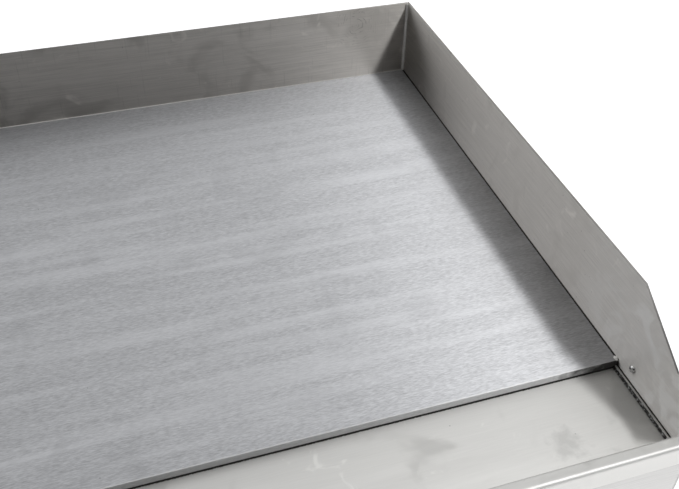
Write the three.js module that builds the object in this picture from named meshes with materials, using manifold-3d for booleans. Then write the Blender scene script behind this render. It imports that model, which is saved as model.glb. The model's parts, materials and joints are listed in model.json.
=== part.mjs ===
// Electric countertop flat top griddle: a thin ground steel plate inside a three-sided splash guard,
// with a shallow grease trough, a pull-out grease drawer and two thermostat zones.
// Millimetres, +Z up, +X to the right and -Y towards the cook. The origin is the centre of the
// footprint, on the surface that the feet stand on.
import * as THREE from 'three';
import { mergeVertices } from 'three/addons/utils/BufferGeometryUtils.js';
import Module from 'manifold-3d';

const wasm = await Module();
wasm.setup();

// Driving dimensions: cooking plate and splash guard.
const PLATE_WIDTH = 720;
const PLATE_DEPTH = 397;
const PLATE_THICKNESS = 6;
const PLATE_TOP = 161;
const SPLASH_HEIGHT = 70;
const SPLASH_SHEET = 1.5;
const SPLASH_SKIRT = 25; // how far the splash walls reach below the plate
const SPLASH_SLOPE_RUN = 47.5;
const SPLASH_SLOPE_DROP = 30.4;

// Driving dimensions: trough, lip and apron.
const TROUGH_REACH = 67.6;
const TROUGH_LEDGE = 15;
const TROUGH_END_GAP = 1.1;
const TROUGH_END_RISE = 2.5;
const LIP_RISE = 7;
const LIP_FLAT = 7.7;
const LIP_BEND = 1.7;
const APRON_HEIGHT = 17;
const DRAIN_RADIUS = 14;
const DRAIN_AHEAD = 33;

// Driving dimensions: casing and feet.
const BODY_WIDTH = 730;
const BODY_SHEET = 1.2;
const CASE_REAR_GAP = 5;
const FOOT_HEIGHT = 35;
const FOOT_RADIUS = 20;
const FOOT_INSET = 55;
const FLANGE = 15;

// Driving dimensions: controls.
const KNOB_X = 250;
const KNOB_Z = 90;
const KNOB_GAP = 1.5;
const KNOB_LENGTH = 26;
const KNOB_SKIRT_RADIUS = 27;
const KNOB_GRIP_RADIUS = 19;
const SHAFT_RADIUS = 3;
const SHAFT_CLEARANCE = 0.4;
const LAMP_X = 172;
const LAMP_SPACING = 26;
const LAMP_RADIUS = 6;

// Driving dimensions: grease drawer.
const DRAWER_HALF = 95;
const DRAWER_DEPTH = 154;
const DRAWER_FLOOR = 66;
const DRAWER_RIM = 124;
const DRAWER_HEM = 9;
const DRAWER_FRONT_HALF = 112;
const DRAWER_FRONT_MARGIN = 9;
const HANDLE_HALF = 52;
const HANDLE_REACH = 24;
const HANDLE_RADIUS = 4;

// Driving dimensions: heating parts.
const ELEMENT_RADIUS = 4;
const ELEMENT_RUNS = 6;
const ELEMENT_PITCH = 54;
const ELEMENT_FIRST_X = 40;
const SHIELD_HALF = 348;
const SHIELD_FLOOR = 132;
const SHIELD_WALL = 11;
const GLAND_X = 280;
const GLAND_Z = 72;
const GLAND_REACH = 18;

const GAP = 0.3; // clearance kept between pieces that touch
const RIVET_BACK_OFF = 14.2; // rivet behind the front corner of the plate, measured forwards
const ROUND = 16; // facets on a small turned piece
const RIGHT_ANGLE = Math.PI / 2;

// Levels and stations worked out from the driving dimensions.
const PLATE_BOTTOM = PLATE_TOP - PLATE_THICKNESS;
const SPLASH_TOP = PLATE_TOP + SPLASH_HEIGHT;
const SPLASH_FOOT = PLATE_BOTTOM - SPLASH_SKIRT;
const FLOOR_TOP = PLATE_BOTTOM - GAP;
const LIP_TOP = PLATE_TOP + LIP_RISE;
const PANEL_SETBACK = BODY_SHEET + GAP;
const DEPTH_AHEAD = PLATE_DEPTH + TROUGH_REACH + LIP_FLAT + LIP_BEND - PANEL_SETBACK + KNOB_GAP + KNOB_LENGTH;
const DEPTH_BEHIND = CASE_REAR_GAP + GLAND_REACH;
const REAR = (DEPTH_AHEAD - DEPTH_BEHIND) / 2; // inner face of the back splash
const PLATE_FRONT = REAR - PLATE_DEPTH;
const UPSTAND = PLATE_FRONT - TROUGH_REACH; // trough side of the front upstand
const APRON_FACE = UPSTAND - LIP_FLAT - LIP_BEND;
const PANEL_FACE = APRON_FACE + PANEL_SETBACK;
const PANEL_BACK = PANEL_FACE + BODY_SHEET;
const CASE_REAR = REAR + CASE_REAR_GAP;
const CASE_HALF = BODY_WIDTH / 2;
const CASE_INNER = CASE_HALF - BODY_SHEET - GAP;
const CASE_TOP = LIP_TOP - BODY_SHEET - GAP;
const PLATE_HALF = PLATE_WIDTH / 2;
const TROUGH_HALF = PLATE_HALF - TROUGH_END_GAP;
const DRAIN_Y = PLATE_FRONT - DRAIN_AHEAD;
const ELEMENT_Z = PLATE_BOTTOM - GAP - ELEMENT_RADIUS - 0.4;
const CLAMP_STATIONS = [REAR - 120, REAR - 290];
const STUD_OFFSETS = [ELEMENT_FIRST_X + ELEMENT_PITCH / 2, ELEMENT_FIRST_X + 4.5 * ELEMENT_PITCH];
const STUD_RADIUS = 3;

// Colours of the finishes, with roughness and metalness.
const FINISHES = {
  ground_steel: { color: 0xa5a5a7, roughness: 0.42, metalness: 1 },
  satin_steel: { color: 0x9b9894, roughness: 0.36, metalness: 1 },
  casing_steel: { color: 0xb4b3b0, roughness: 0.34, metalness: 1 },
  zinc_steel: { color: 0x9fa3a6, roughness: 0.5, metalness: 0.9 },
  dark_element: { color: 0x4a4f4c, roughness: 0.6, metalness: 0.6 },
  black_plastic: { color: 0x1a1a1b, roughness: 0.45, metalness: 0 },
  black_rubber: { color: 0x161616, roughness: 0.8, metalness: 0 },
  ceramic_fibre: { color: 0xd9d3c4, roughness: 0.95, metalness: 0 },
  copper: { color: 0xb87348, roughness: 0.4, metalness: 1 },
  green_lens: { color: 0x2f9a4e, roughness: 0.2, metalness: 0 },
  amber_lens: { color: 0xd98a1f, roughness: 0.2, metalness: 0 },
  brown_wire: { color: 0x6a4030, roughness: 0.6, metalness: 0 },
};

const griddle = new THREE.Group();

function addPiece(name, geometry, finish) {
  const mesh = new THREE.Mesh(geometry, new THREE.MeshStandardMaterial(FINISHES[finish]));
  mesh.name = name;
  griddle.add(mesh);
}

// Closed mesh to solid: shared corners merged, collapsed triangles dropped.
function toSolid(geometry) {
  const bare = geometry.clone();
  bare.deleteAttribute('normal');
  bare.deleteAttribute('uv');
  const merged = mergeVertices(bare, 1e-3);
  const kept = [];
  for (let i = 0; i < merged.index.count; i += 3) {
    const [a, b, c] = [0, 1, 2].map((corner) => merged.index.getX(i + corner));
    if (a !== b && b !== c && c !== a) {
      kept.push(a, b, c);
    }
  }
  const vertProperties = new Float32Array(merged.attributes.position.array);
  return new wasm.Manifold(new wasm.Mesh({ numProp: 3, vertProperties, triVerts: new Uint32Array(kept) }));
}

function fromSolid(solid) {
  const mesh = solid.getMesh();
  const geometry = new THREE.BufferGeometry();
  geometry.setAttribute('position', new THREE.BufferAttribute(mesh.vertProperties, 3));
  geometry.setIndex(new THREE.BufferAttribute(mesh.triVerts, 1));
  geometry.computeVertexNormals();
  return geometry;
}

function join(...geometries) {
  return fromSolid(geometries.map(toSolid).reduce((whole, next) => whole.add(next)));
}

function cut(body, ...tools) {
  return fromSolid(tools.map(toSolid).reduce((left, tool) => left.subtract(tool), toSolid(body)));
}

// A box between low and high values on each axis.
function box([x0, x1], [y0, y1], [z0, z1]) {
  const geometry = new THREE.BoxGeometry(x1 - x0, y1 - y0, z1 - z0);
  return geometry.translate((x0 + x1) / 2, (y0 + y1) / 2, (z0 + z1) / 2);
}

function across(half) {
  return [-half, half];
}

// The same box on the side of the given sign: 1 is the right, -1 the left.
function sideSpan(side, near, far) {
  return side > 0 ? [near, far] : [-far, -near];
}

function outline(points) {
  return new THREE.Shape(points.map(([a, b]) => new THREE.Vector2(a, b)));
}

// Extrudes a shape drawn in Y and Z along X.
function alongX(shape, [x0, x1]) {
  const geometry = new THREE.ExtrudeGeometry(shape, { depth: x1 - x0, bevelEnabled: false, curveSegments: 4 });
  const basis = new THREE.Matrix4().makeBasis(
    new THREE.Vector3(0, 1, 0),
    new THREE.Vector3(0, 0, 1),
    new THREE.Vector3(1, 0, 0),
  );
  return geometry.applyMatrix4(basis).translate(x0, 0, 0);
}

function rodY(radius, [y0, y1], x, z, facets = ROUND) {
  return new THREE.CylinderGeometry(radius, radius, y1 - y0, facets).translate(x, (y0 + y1) / 2, z);
}

function rodZ(radius, [z0, z1], x, y, facets = ROUND) {
  const geometry = new THREE.CylinderGeometry(radius, radius, z1 - z0, facets).rotateX(RIGHT_ANGLE);
  return geometry.translate(x, y, (z0 + z1) / 2);
}

// Revolves a profile of radius and height pairs about +Z.
function turnedUp(profile, facets = ROUND) {
  return new THREE.LatheGeometry(profile.map(([r, h]) => new THREE.Vector2(r, h)), facets).rotateX(RIGHT_ANGLE);
}

function turnedForward(profile, facets = ROUND) {
  return turnedUp(profile, facets).rotateX(RIGHT_ANGLE);
}

function turnedRearward(profile, facets = ROUND) {
  return turnedUp(profile, facets).rotateX(-RIGHT_ANGLE);
}

// A path that is stepped exactly at its own corner points.
class SteppedPath extends THREE.Curve {
  constructor(points) {
    super();
    this.points = points;
  }

  getPoint(t) {
    return this.points[Math.round(t * (this.points.length - 1))].clone();
  }

  getPointAt(t) {
    return this.getPoint(t);
  }

  getTangentAt(t) {
    const last = this.points.length - 1;
    const at = Math.round(t * last);
    const ahead = this.points[Math.min(at + 1, last)];
    const behind = this.points[Math.max(at - 1, 0)];
    return ahead.clone().sub(behind).normalize();
  }
}

function roundSection(radius, sides) {
  const points = [];
  for (let i = 0; i < sides; i += 1) {
    const angle = (2 * Math.PI * i) / sides;
    points.push(new THREE.Vector2(radius * Math.cos(angle), radius * Math.sin(angle)));
  }
  return new THREE.Shape(points);
}

function tube(points, radius, sides = 8) {
  const extrudePath = new SteppedPath(points);
  const steps = points.length - 1;
  return new THREE.ExtrudeGeometry(roundSection(radius, sides), { steps, extrudePath });
}

// A soft run of wire through hand-set points.
function wire(points, radius) {
  const route = new THREE.CatmullRomCurve3(points.map(([x, y, z]) => new THREE.Vector3(x, y, z)));
  return tube(route.getPoints(points.length * 2), radius, 6);
}

function addCookingTop() {
  const studs = [];
  for (const side of [-1, 1]) {
    for (const offset of STUD_OFFSETS) {
      for (const station of CLAMP_STATIONS) {
        studs.push(rodZ(STUD_RADIUS, [PLATE_BOTTOM - 14, PLATE_BOTTOM + 1], side * offset, station, 10));
      }
    }
  }
  const slab = box(across(PLATE_HALF - GAP), [PLATE_FRONT, REAR - GAP], [PLATE_BOTTOM, PLATE_TOP]);
  addPiece('griddle_plate', join(slab, ...studs), 'ground_steel');
}

function splashOutline() {
  const kink = PLATE_FRONT - 1;
  const frontEnd = UPSTAND + GAP;
  const shoulder = SPLASH_TOP - SPLASH_SLOPE_DROP;
  return outline([
    [frontEnd, SPLASH_FOOT],
    [REAR + SPLASH_SHEET, SPLASH_FOOT],
    [REAR + SPLASH_SHEET, SPLASH_TOP],
    [kink, SPLASH_TOP],
    [kink - SPLASH_SLOPE_RUN, shoulder],
    [frontEnd, shoulder],
  ]);
}

function addSplashGuard() {
  const backSpan = [REAR, REAR + SPLASH_SHEET];
  addPiece('back_splash', box(across(PLATE_HALF - GAP), backSpan, [SPLASH_FOOT, SPLASH_TOP]), 'satin_steel');
  const rivetY = PLATE_FRONT - RIVET_BACK_OFF;
  const rivetZ = PLATE_TOP + 6.6;
  const tail = SPLASH_SHEET + GAP;
  const head = [
    [0, 0], [1.5, 0], [1.5, tail], [2.6, tail], [2.2, tail + 0.9], [1.2, tail + 1.4], [0, tail + 1.5],
  ];
  for (const [name, side] of [['left', -1], ['right', 1]]) {
    const sheet = alongX(splashOutline(), sideSpan(side, PLATE_HALF, PLATE_HALF + SPLASH_SHEET));
    const hole = new THREE.CylinderGeometry(1.8, 1.8, 8, 10).rotateZ(RIGHT_ANGLE);
    hole.translate(side * PLATE_HALF, rivetY, rivetZ);
    addPiece(`${name}_splash`, cut(sheet, hole), 'satin_steel');
    const rivet = turnedUp(head, 12).rotateY(-side * RIGHT_ANGLE);
    rivet.translate(side * (PLATE_HALF + SPLASH_SHEET), rivetY, rivetZ);
    addPiece(`${name}_splash_rivet`, rivet, 'zinc_steel');
  }
}

function lipSection() {
  const inner = LIP_BEND - BODY_SHEET;
  const bendY = UPSTAND - LIP_FLAT;
  const bendZ = LIP_TOP - LIP_BEND;
  const shape = new THREE.Shape();
  shape.moveTo(UPSTAND, LIP_TOP);
  shape.lineTo(bendY, LIP_TOP);
  shape.absarc(bendY, bendZ, LIP_BEND, RIGHT_ANGLE, Math.PI, false);
  shape.lineTo(APRON_FACE, LIP_TOP - APRON_HEIGHT);
  shape.lineTo(APRON_FACE + BODY_SHEET, LIP_TOP - APRON_HEIGHT);
  shape.lineTo(APRON_FACE + BODY_SHEET, bendZ);
  shape.absarc(bendY, bendZ, inner, Math.PI, RIGHT_ANGLE, true);
  shape.lineTo(UPSTAND, LIP_TOP - BODY_SHEET);
  shape.closePath();
  return shape;
}

function addTrough() {
  const floorZ = [FLOOR_TOP - BODY_SHEET, FLOOR_TOP];
  const floor = box(across(TROUGH_HALF), [UPSTAND - BODY_SHEET, PLATE_FRONT + TROUGH_LEDGE], floorZ);
  const upstand = box(across(TROUGH_HALF), [UPSTAND - BODY_SHEET, UPSTAND], [floorZ[0], LIP_TOP]);
  const lip = alongX(lipSection(), across(CASE_HALF));
  const ends = [-1, 1].map((side) => box(
    sideSpan(side, TROUGH_HALF - BODY_SHEET, TROUGH_HALF),
    [UPSTAND - BODY_SHEET, PLATE_FRONT - GAP],
    [floorZ[0], FLOOR_TOP + TROUGH_END_RISE],
  ));
  const drain = rodZ(DRAIN_RADIUS, [floorZ[0] - 5, FLOOR_TOP + 5], 0, DRAIN_Y);
  addPiece('front_trough', cut(join(floor, upstand, lip, ...ends), drain), 'satin_steel');

  const flangeTop = floorZ[0] - GAP;
  const mouth = DRAIN_RADIUS + 2;
  const spout = turnedUp([
    [DRAIN_RADIUS, flangeTop - 17],
    [mouth, flangeTop - 17],
    [mouth, flangeTop - BODY_SHEET],
    [mouth + 5, flangeTop - BODY_SHEET],
    [mouth + 5, flangeTop],
    [DRAIN_RADIUS, flangeTop],
    [DRAIN_RADIUS, flangeTop - 17],
  ]);
  addPiece('drain_spout', spout.translate(0, DRAIN_Y, 0), 'satin_steel');
}

// Angles under the plate's edges that carry it.
function addPlateRails() {
  const leg = 20;
  const sheet = SPLASH_SHEET;
  const legZ = [FLOOR_TOP - sheet, FLOOR_TOP];
  const webZ = [FLOOR_TOP - leg, FLOOR_TOP];
  const outer = PLATE_HALF - GAP;
  const sideY = [PLATE_FRONT + TROUGH_LEDGE + 1, REAR - 2];
  for (const [name, side] of [['left', -1], ['right', 1]]) {
    const flat = box(sideSpan(side, outer - leg, outer), sideY, legZ);
    const web = box(sideSpan(side, outer - sheet, outer), sideY, webZ);
    addPiece(`${name}_plate_rail`, join(flat, web), 'zinc_steel');
  }
  const rearHalf = outer - leg - 5;
  const rearFlat = box(across(rearHalf), [REAR - leg, REAR - GAP], legZ);
  const rearWeb = box(across(rearHalf), [REAR - GAP - sheet, REAR - GAP], webZ);
  addPiece('rear_plate_rail', join(rearFlat, rearWeb), 'zinc_steel');
}

// Cutters for rows of vent slots: length runs along one axis, rows climb along another.
function slotRows(centre, columns, rows, columnStep, rowStep, size) {
  const cutters = [];
  for (let column = 0; column < columns; column += 1) {
    for (let row = 0; row < rows; row += 1) {
      const place = centre.clone()
        .addScaledVector(columnStep, column - (columns - 1) / 2)
        .addScaledVector(rowStep, row - (rows - 1) / 2);
      cutters.push(new THREE.BoxGeometry(size.x, size.y, size.z).translate(place.x, place.y, place.z));
    }
  }
  return cutters;
}

const UP_STEP = new THREE.Vector3(0, 0, 13);
const VENT_Z = 104;

function addSidePanels() {
  for (const [name, side] of [['left', -1], ['right', 1]]) {
    const depth = [PANEL_FACE, CASE_REAR];
    const wall = box(sideSpan(side, CASE_HALF - BODY_SHEET, CASE_HALF), depth, [FOOT_HEIGHT, CASE_TOP]);
    const rimNear = PLATE_HALF + SPLASH_SHEET + GAP;
    const rimDepth = [PANEL_BACK + GAP, CASE_REAR - PANEL_SETBACK];
    const rim = box(sideSpan(side, rimNear, CASE_HALF), rimDepth, [CASE_TOP - BODY_SHEET, CASE_TOP]);
    const slots = slotRows(
      new THREE.Vector3(side * CASE_HALF, REAR - 200, VENT_Z),
      3, 5, new THREE.Vector3(0, 90, 0), UP_STEP, new THREE.Vector3(12, 66, 4),
    );
    addPiece(`${name}_side_panel`, cut(join(wall, rim), ...slots), 'casing_steel');
  }
}

function addRearPanel() {
  const sheet = box(across(CASE_INNER), [CASE_REAR - BODY_SHEET, CASE_REAR], [FOOT_HEIGHT, CASE_TOP]);
  const rimNear = REAR + SPLASH_SHEET + GAP;
  const rimHalf = PLATE_HALF + SPLASH_SHEET;
  const rim = box(across(rimHalf), [rimNear, CASE_REAR], [CASE_TOP - BODY_SHEET, CASE_TOP]);
  const slots = slotRows(
    new THREE.Vector3(-40, CASE_REAR, VENT_Z),
    5, 5, new THREE.Vector3(96, 0, 0), UP_STEP, new THREE.Vector3(70, 12, 4),
  );
  const depth = [CASE_REAR - 6, CASE_REAR + 6];
  const glandHole = rodY(8.4, depth, GLAND_X, GLAND_Z);
  const earthHole = rodY(3.4, depth, GLAND_X + 38, GLAND_Z, 10);
  addPiece('rear_panel', cut(join(sheet, rim), ...slots, glandHole, earthHole), 'casing_steel');
}

function footPlaces() {
  const places = [];
  for (const [name, side] of [['left', -1], ['right', 1]]) {
    places.push([`front_${name}_foot`, side * (CASE_HALF - FOOT_INSET), PANEL_FACE + FOOT_INSET]);
    places.push([`rear_${name}_foot`, side * (CASE_HALF - FOOT_INSET), CASE_REAR - FOOT_INSET]);
  }
  return places;
}

function addBasePan() {
  const front = PANEL_BACK + GAP;
  const rear = CASE_REAR - BODY_SHEET - GAP;
  const outer = box(across(CASE_INNER), [front, rear], [FOOT_HEIGHT, FOOT_HEIGHT + FLANGE]);
  const hollow = box(
    across(CASE_INNER - BODY_SHEET),
    [front + BODY_SHEET, rear - BODY_SHEET],
    [FOOT_HEIGHT + BODY_SHEET, FOOT_HEIGHT + FLANGE + 5],
  );
  const vents = [-1, 1].flatMap((side) => slotRows(
    new THREE.Vector3(side * 200, REAR - 210, FOOT_HEIGHT),
    2, 5, new THREE.Vector3(96, 0, 0), new THREE.Vector3(0, 16, 0), new THREE.Vector3(70, 5, 12),
  ));
  const holes = footPlaces().map(([, x, y]) => rodZ(3.2, [FOOT_HEIGHT - 5, FOOT_HEIGHT + 5], x, y, 10));
  addPiece('base_pan', cut(outer, hollow, ...vents, ...holes), 'zinc_steel');
}

function addFeet() {
  const top = FOOT_HEIGHT - GAP;
  const recess = 7;
  const profile = [
    [0, 14], [recess, 14], [recess, 0], [FOOT_RADIUS - 3, 0], [FOOT_RADIUS, 3],
    [FOOT_RADIUS - 1, 9], [FOOT_RADIUS - 4, top], [0, top],
  ];
  for (const [name, x, y] of footPlaces()) {
    addPiece(name, turnedUp(profile, 20).translate(x, y, 0), 'black_rubber');
  }
}

function lampPlaces() {
  const places = [];
  for (const [name, side] of [['left', -1], ['right', 1]]) {
    places.push([`${name}_power_lamp`, side * LAMP_X, KNOB_Z + LAMP_SPACING / 2, 'green_lens']);
    places.push([`${name}_heating_lamp`, side * LAMP_X, KNOB_Z - LAMP_SPACING / 2, 'amber_lens']);
  }
  return places;
}

function addControlPanel() {
  const sheet = box(across(CASE_INNER), [PANEL_FACE, PANEL_BACK], [FOOT_HEIGHT, CASE_TOP]);
  const depth = [PANEL_FACE - 5, PANEL_BACK + 5];
  const hatchHalf = DRAWER_HALF + DRAWER_HEM + 1;
  const hatch = box(across(hatchHalf), depth, [DRAWER_FLOOR - 2, DRAWER_RIM + 2]);
  const shaftHoles = [-1, 1].map((side) => rodY(5.6, depth, side * KNOB_X, KNOB_Z));
  const lampHoles = lampPlaces().map(([, x, z]) => rodY(LAMP_RADIUS + 0.4, depth, x, z));
  addPiece('control_panel', cut(sheet, hatch, ...shaftHoles, ...lampHoles), 'casing_steel');
}

function addDrawer() {
  const sheet = BODY_SHEET;
  const depth = [PANEL_FACE, PANEL_FACE + DRAWER_DEPTH];
  const shell = box(across(DRAWER_HALF), depth, [DRAWER_FLOOR, DRAWER_RIM]);
  const hollow = box(
    across(DRAWER_HALF - sheet),
    [depth[0] + sheet, depth[1] - sheet],
    [DRAWER_FLOOR + sheet, DRAWER_RIM + 5],
  );
  const hems = [-1, 1].map((side) => box(
    sideSpan(side, DRAWER_HALF - sheet, DRAWER_HALF + DRAWER_HEM),
    depth,
    [DRAWER_RIM - sheet, DRAWER_RIM],
  ));
  addPiece('drawer_tray', cut(join(shell, ...hems), hollow), 'satin_steel');

  const face = PANEL_FACE - GAP - SPLASH_SHEET;
  const fascia = box(
    across(DRAWER_FRONT_HALF),
    [face, PANEL_FACE - GAP],
    [DRAWER_FLOOR - DRAWER_FRONT_MARGIN, DRAWER_RIM + DRAWER_FRONT_MARGIN],
  );
  addPiece('drawer_front', fascia, 'casing_steel');
  addPiece('drawer_handle', tube(handlePath(face - GAP), HANDLE_RADIUS, 12), 'satin_steel');
}

function handlePath(root) {
  const bend = 10;
  const z = (DRAWER_FLOOR + DRAWER_RIM) / 2;
  const bar = root - HANDLE_REACH + HANDLE_RADIUS;
  const points = [new THREE.Vector3(-HANDLE_HALF, root, z)];
  for (const side of [-1, 1]) {
    for (let i = 0; i <= 4; i += 1) {
      const turn = side < 0 ? i / 4 : 1 - i / 4;
      const angle = turn * RIGHT_ANGLE;
      const x = side * (HANDLE_HALF - bend + bend * Math.cos(angle));
      points.push(new THREE.Vector3(x, bar + bend - bend * Math.sin(angle), z));
    }
  }
  points.push(new THREE.Vector3(HANDLE_HALF, root, z));
  return points;
}

function addDrawerRunners() {
  const inner = DRAWER_HALF + 3;
  const web = DRAWER_HALF + DRAWER_HEM + 3;
  const outer = web + BODY_SHEET;
  const shelf = DRAWER_RIM - BODY_SHEET - GAP;
  const roof = DRAWER_RIM + BODY_SHEET;
  const ground = FOOT_HEIGHT + BODY_SHEET + GAP;
  const depth = [PANEL_BACK + 1.5, PANEL_FACE + DRAWER_DEPTH];
  for (const [name, side] of [['left', -1], ['right', 1]]) {
    const parts = [
      box(sideSpan(side, inner, outer), depth, [shelf - BODY_SHEET, shelf]),
      box(sideSpan(side, web, outer), depth, [shelf - BODY_SHEET, roof + BODY_SHEET]),
      box(sideSpan(side, inner, outer), depth, [roof, roof + BODY_SHEET]),
    ];
    for (const start of [depth[0] + 4, depth[1] - 24]) {
      parts.push(box(sideSpan(side, web, outer), [start, start + 20], [ground, roof]));
      parts.push(box(sideSpan(side, web, outer + 12), [start, start + 20], [ground, ground + BODY_SHEET]));
    }
    addPiece(`${name}_drawer_runner`, join(...parts), 'zinc_steel');
  }
}

function addThermostats() {
  const front = PANEL_BACK + GAP;
  const boreRadius = SHAFT_RADIUS + SHAFT_CLEARANCE;
  for (const [name, side] of [['left', -1], ['right', 1]]) {
    const x = side * KNOB_X;
    const can = box([x - 20, x + 20], [front, front + 24], [KNOB_Z - 15, KNOB_Z + 15]);
    const bush = rodY(5, [PANEL_FACE - 1, front + 2], x, KNOB_Z);
    const bore = rodY(boreRadius, [PANEL_FACE - 3, front + 12], x, KNOB_Z);
    addPiece(`${name}_thermostat`, cut(join(can, bush), bore), 'zinc_steel');

    const shaftY = [PANEL_FACE - KNOB_GAP - 16, front + 11];
    const rod = rodY(SHAFT_RADIUS, shaftY, x, KNOB_Z, 12);
    const flat = box([x - 4, x + 4], [shaftY[0] - 1, shaftY[0] + 12], [KNOB_Z + 1.8, KNOB_Z + 5]);
    addPiece(`${name}_thermostat_shaft`, cut(rod, flat), 'zinc_steel');
  }
}

function addKnobs() {
  const facets = 24;
  const bore = SHAFT_RADIUS + GAP;
  const profile = [
    [0, 0], [KNOB_SKIRT_RADIUS, 0], [KNOB_SKIRT_RADIUS, 2], [KNOB_SKIRT_RADIUS - 2, 4],
    [KNOB_GRIP_RADIUS + 1.5, 6], [KNOB_GRIP_RADIUS, KNOB_LENGTH - 2],
    [KNOB_GRIP_RADIUS - 2, KNOB_LENGTH - 0.8], [0, KNOB_LENGTH - 0.8],
  ];
  for (const [name, side] of [['left', -1], ['right', 1]]) {
    const body = turnedForward(profile, facets);
    const pointer = box([-1.5, 1.5], [-KNOB_LENGTH, -KNOB_LENGTH + 3], [4, KNOB_GRIP_RADIUS - 3]);
    const socket = rodY(bore, [-17, 1], 0, 0, 12);
    const knob = cut(join(body, pointer), socket);
    addPiece(`${name}_knob`, knob.translate(side * KNOB_X, PANEL_FACE - KNOB_GAP, KNOB_Z), 'black_plastic');
  }
}

function addLamps() {
  const bezel = LAMP_RADIUS + 2;
  const profile = [
    [0, -16], [LAMP_RADIUS, -16], [LAMP_RADIUS, GAP], [bezel, GAP], [bezel - 0.4, GAP + 1.6],
    [LAMP_RADIUS, GAP + 1.8], [LAMP_RADIUS - 0.4, 4], [LAMP_RADIUS - 2.4, 5.6], [0, 6.2],
  ];
  for (const [name, x, z, lens] of lampPlaces()) {
    addPiece(name, turnedForward(profile).translate(x, PANEL_FACE, z), lens);
  }
}

// Tubular element: runs front to back under the plate, joined by half turns, ends bent down at the rear.
function elementPath(side) {
  const turn = ELEMENT_PITCH / 2;
  const frontTurn = PLATE_FRONT + 32 + turn;
  const rearTurn = REAR - 43 - turn;
  const legY = REAR - 26;
  const bend = 14;
  const lastX = ELEMENT_FIRST_X + (ELEMENT_RUNS - 1) * ELEMENT_PITCH;
  const at = (x, y, z) => new THREE.Vector3(side * x, y, z);
  const legDown = (x) => [at(x, legY, ELEMENT_Z - 38), at(x, legY, ELEMENT_Z - bend)];
  const corner = (x) => [1, 2].map((i) => {
    const angle = (i * Math.PI) / 6;
    return at(x, legY - bend + bend * Math.cos(angle), ELEMENT_Z - bend + bend * Math.sin(angle));
  });
  const points = [...legDown(ELEMENT_FIRST_X), ...corner(ELEMENT_FIRST_X)];
  points.push(at(ELEMENT_FIRST_X, legY - bend, ELEMENT_Z));
  for (let run = 0; run < ELEMENT_RUNS - 1; run += 1) {
    const forwards = run % 2 === 0;
    const centre = forwards ? frontTurn : rearTurn;
    const reach = forwards ? -turn : turn;
    const middle = ELEMENT_FIRST_X + (run + 0.5) * ELEMENT_PITCH;
    for (let i = 0; i <= 6; i += 1) {
      const angle = (i * Math.PI) / 6;
      points.push(at(middle - turn * Math.cos(angle), centre + reach * Math.sin(angle), ELEMENT_Z));
    }
  }
  points.push(at(lastX, legY - bend, ELEMENT_Z));
  points.push(...corner(lastX).reverse(), ...legDown(lastX).reverse());
  return points;
}

function addHeating() {
  for (const [name, side] of [['left', -1], ['right', 1]]) {
    addPiece(`${name}_heating_element`, tube(elementPath(side), ELEMENT_RADIUS), 'dark_element');
    const barX = sideSpan(side, ELEMENT_FIRST_X - 8, ELEMENT_FIRST_X + 5 * ELEMENT_PITCH + 8);
    const barTop = ELEMENT_Z - ELEMENT_RADIUS - GAP;
    CLAMP_STATIONS.forEach((station, index) => {
      const bar = box(barX, [station - 7, station + 7], [barTop - 2, barTop]);
      const holes = STUD_OFFSETS.map((x) => rodZ(STUD_RADIUS + 0.5, [barTop - 5, barTop + 5], side * x, station, 10));
      addPiece(`${name}_clamp_bar_${index + 1}`, cut(bar, ...holes), 'zinc_steel');
    });
  }
}

function addShield() {
  const sheet = 1;
  const depth = [PLATE_FRONT + TROUGH_LEDGE + 1.5, REAR - 34];
  const pan = box(across(SHIELD_HALF), depth, [SHIELD_FLOOR, SHIELD_FLOOR + SHIELD_WALL]);
  const hollow = box(
    across(SHIELD_HALF - sheet),
    [depth[0] + sheet, depth[1] - sheet],
    [SHIELD_FLOOR + sheet, SHIELD_FLOOR + SHIELD_WALL + 5],
  );
  const lugs = [-1, 1].flatMap((side) => [REAR - 110, REAR - 310].map((y) => box(
    sideSpan(side, SHIELD_HALF - sheet, PLATE_HALF - GAP),
    [y - 10, y + 10],
    [SHIELD_FLOOR, SHIELD_FLOOR + sheet],
  )));
  addPiece('heat_shield', cut(join(pan, ...lugs), hollow), 'zinc_steel');
  const inset = sheet + GAP;
  const board = box(
    across(SHIELD_HALF - inset),
    [depth[0] + inset, depth[1] - inset],
    [SHIELD_FLOOR + inset, SHIELD_FLOOR + inset + 7],
  );
  const passes = [-1, 1].flatMap((side) => STUD_OFFSETS.flatMap((x) => CLAMP_STATIONS.map(
    (y) => box([side * x - 7, side * x + 7], [y - 7, y + 7], [SHIELD_FLOOR + 5, SHIELD_FLOOR + 12]),
  )));
  addPiece('insulation_board', cut(board, ...passes), 'ceramic_fibre');
}

const BULB_X = ELEMENT_FIRST_X + 1.5 * ELEMENT_PITCH;
const BULB_FRONT = REAR - 330;

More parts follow.
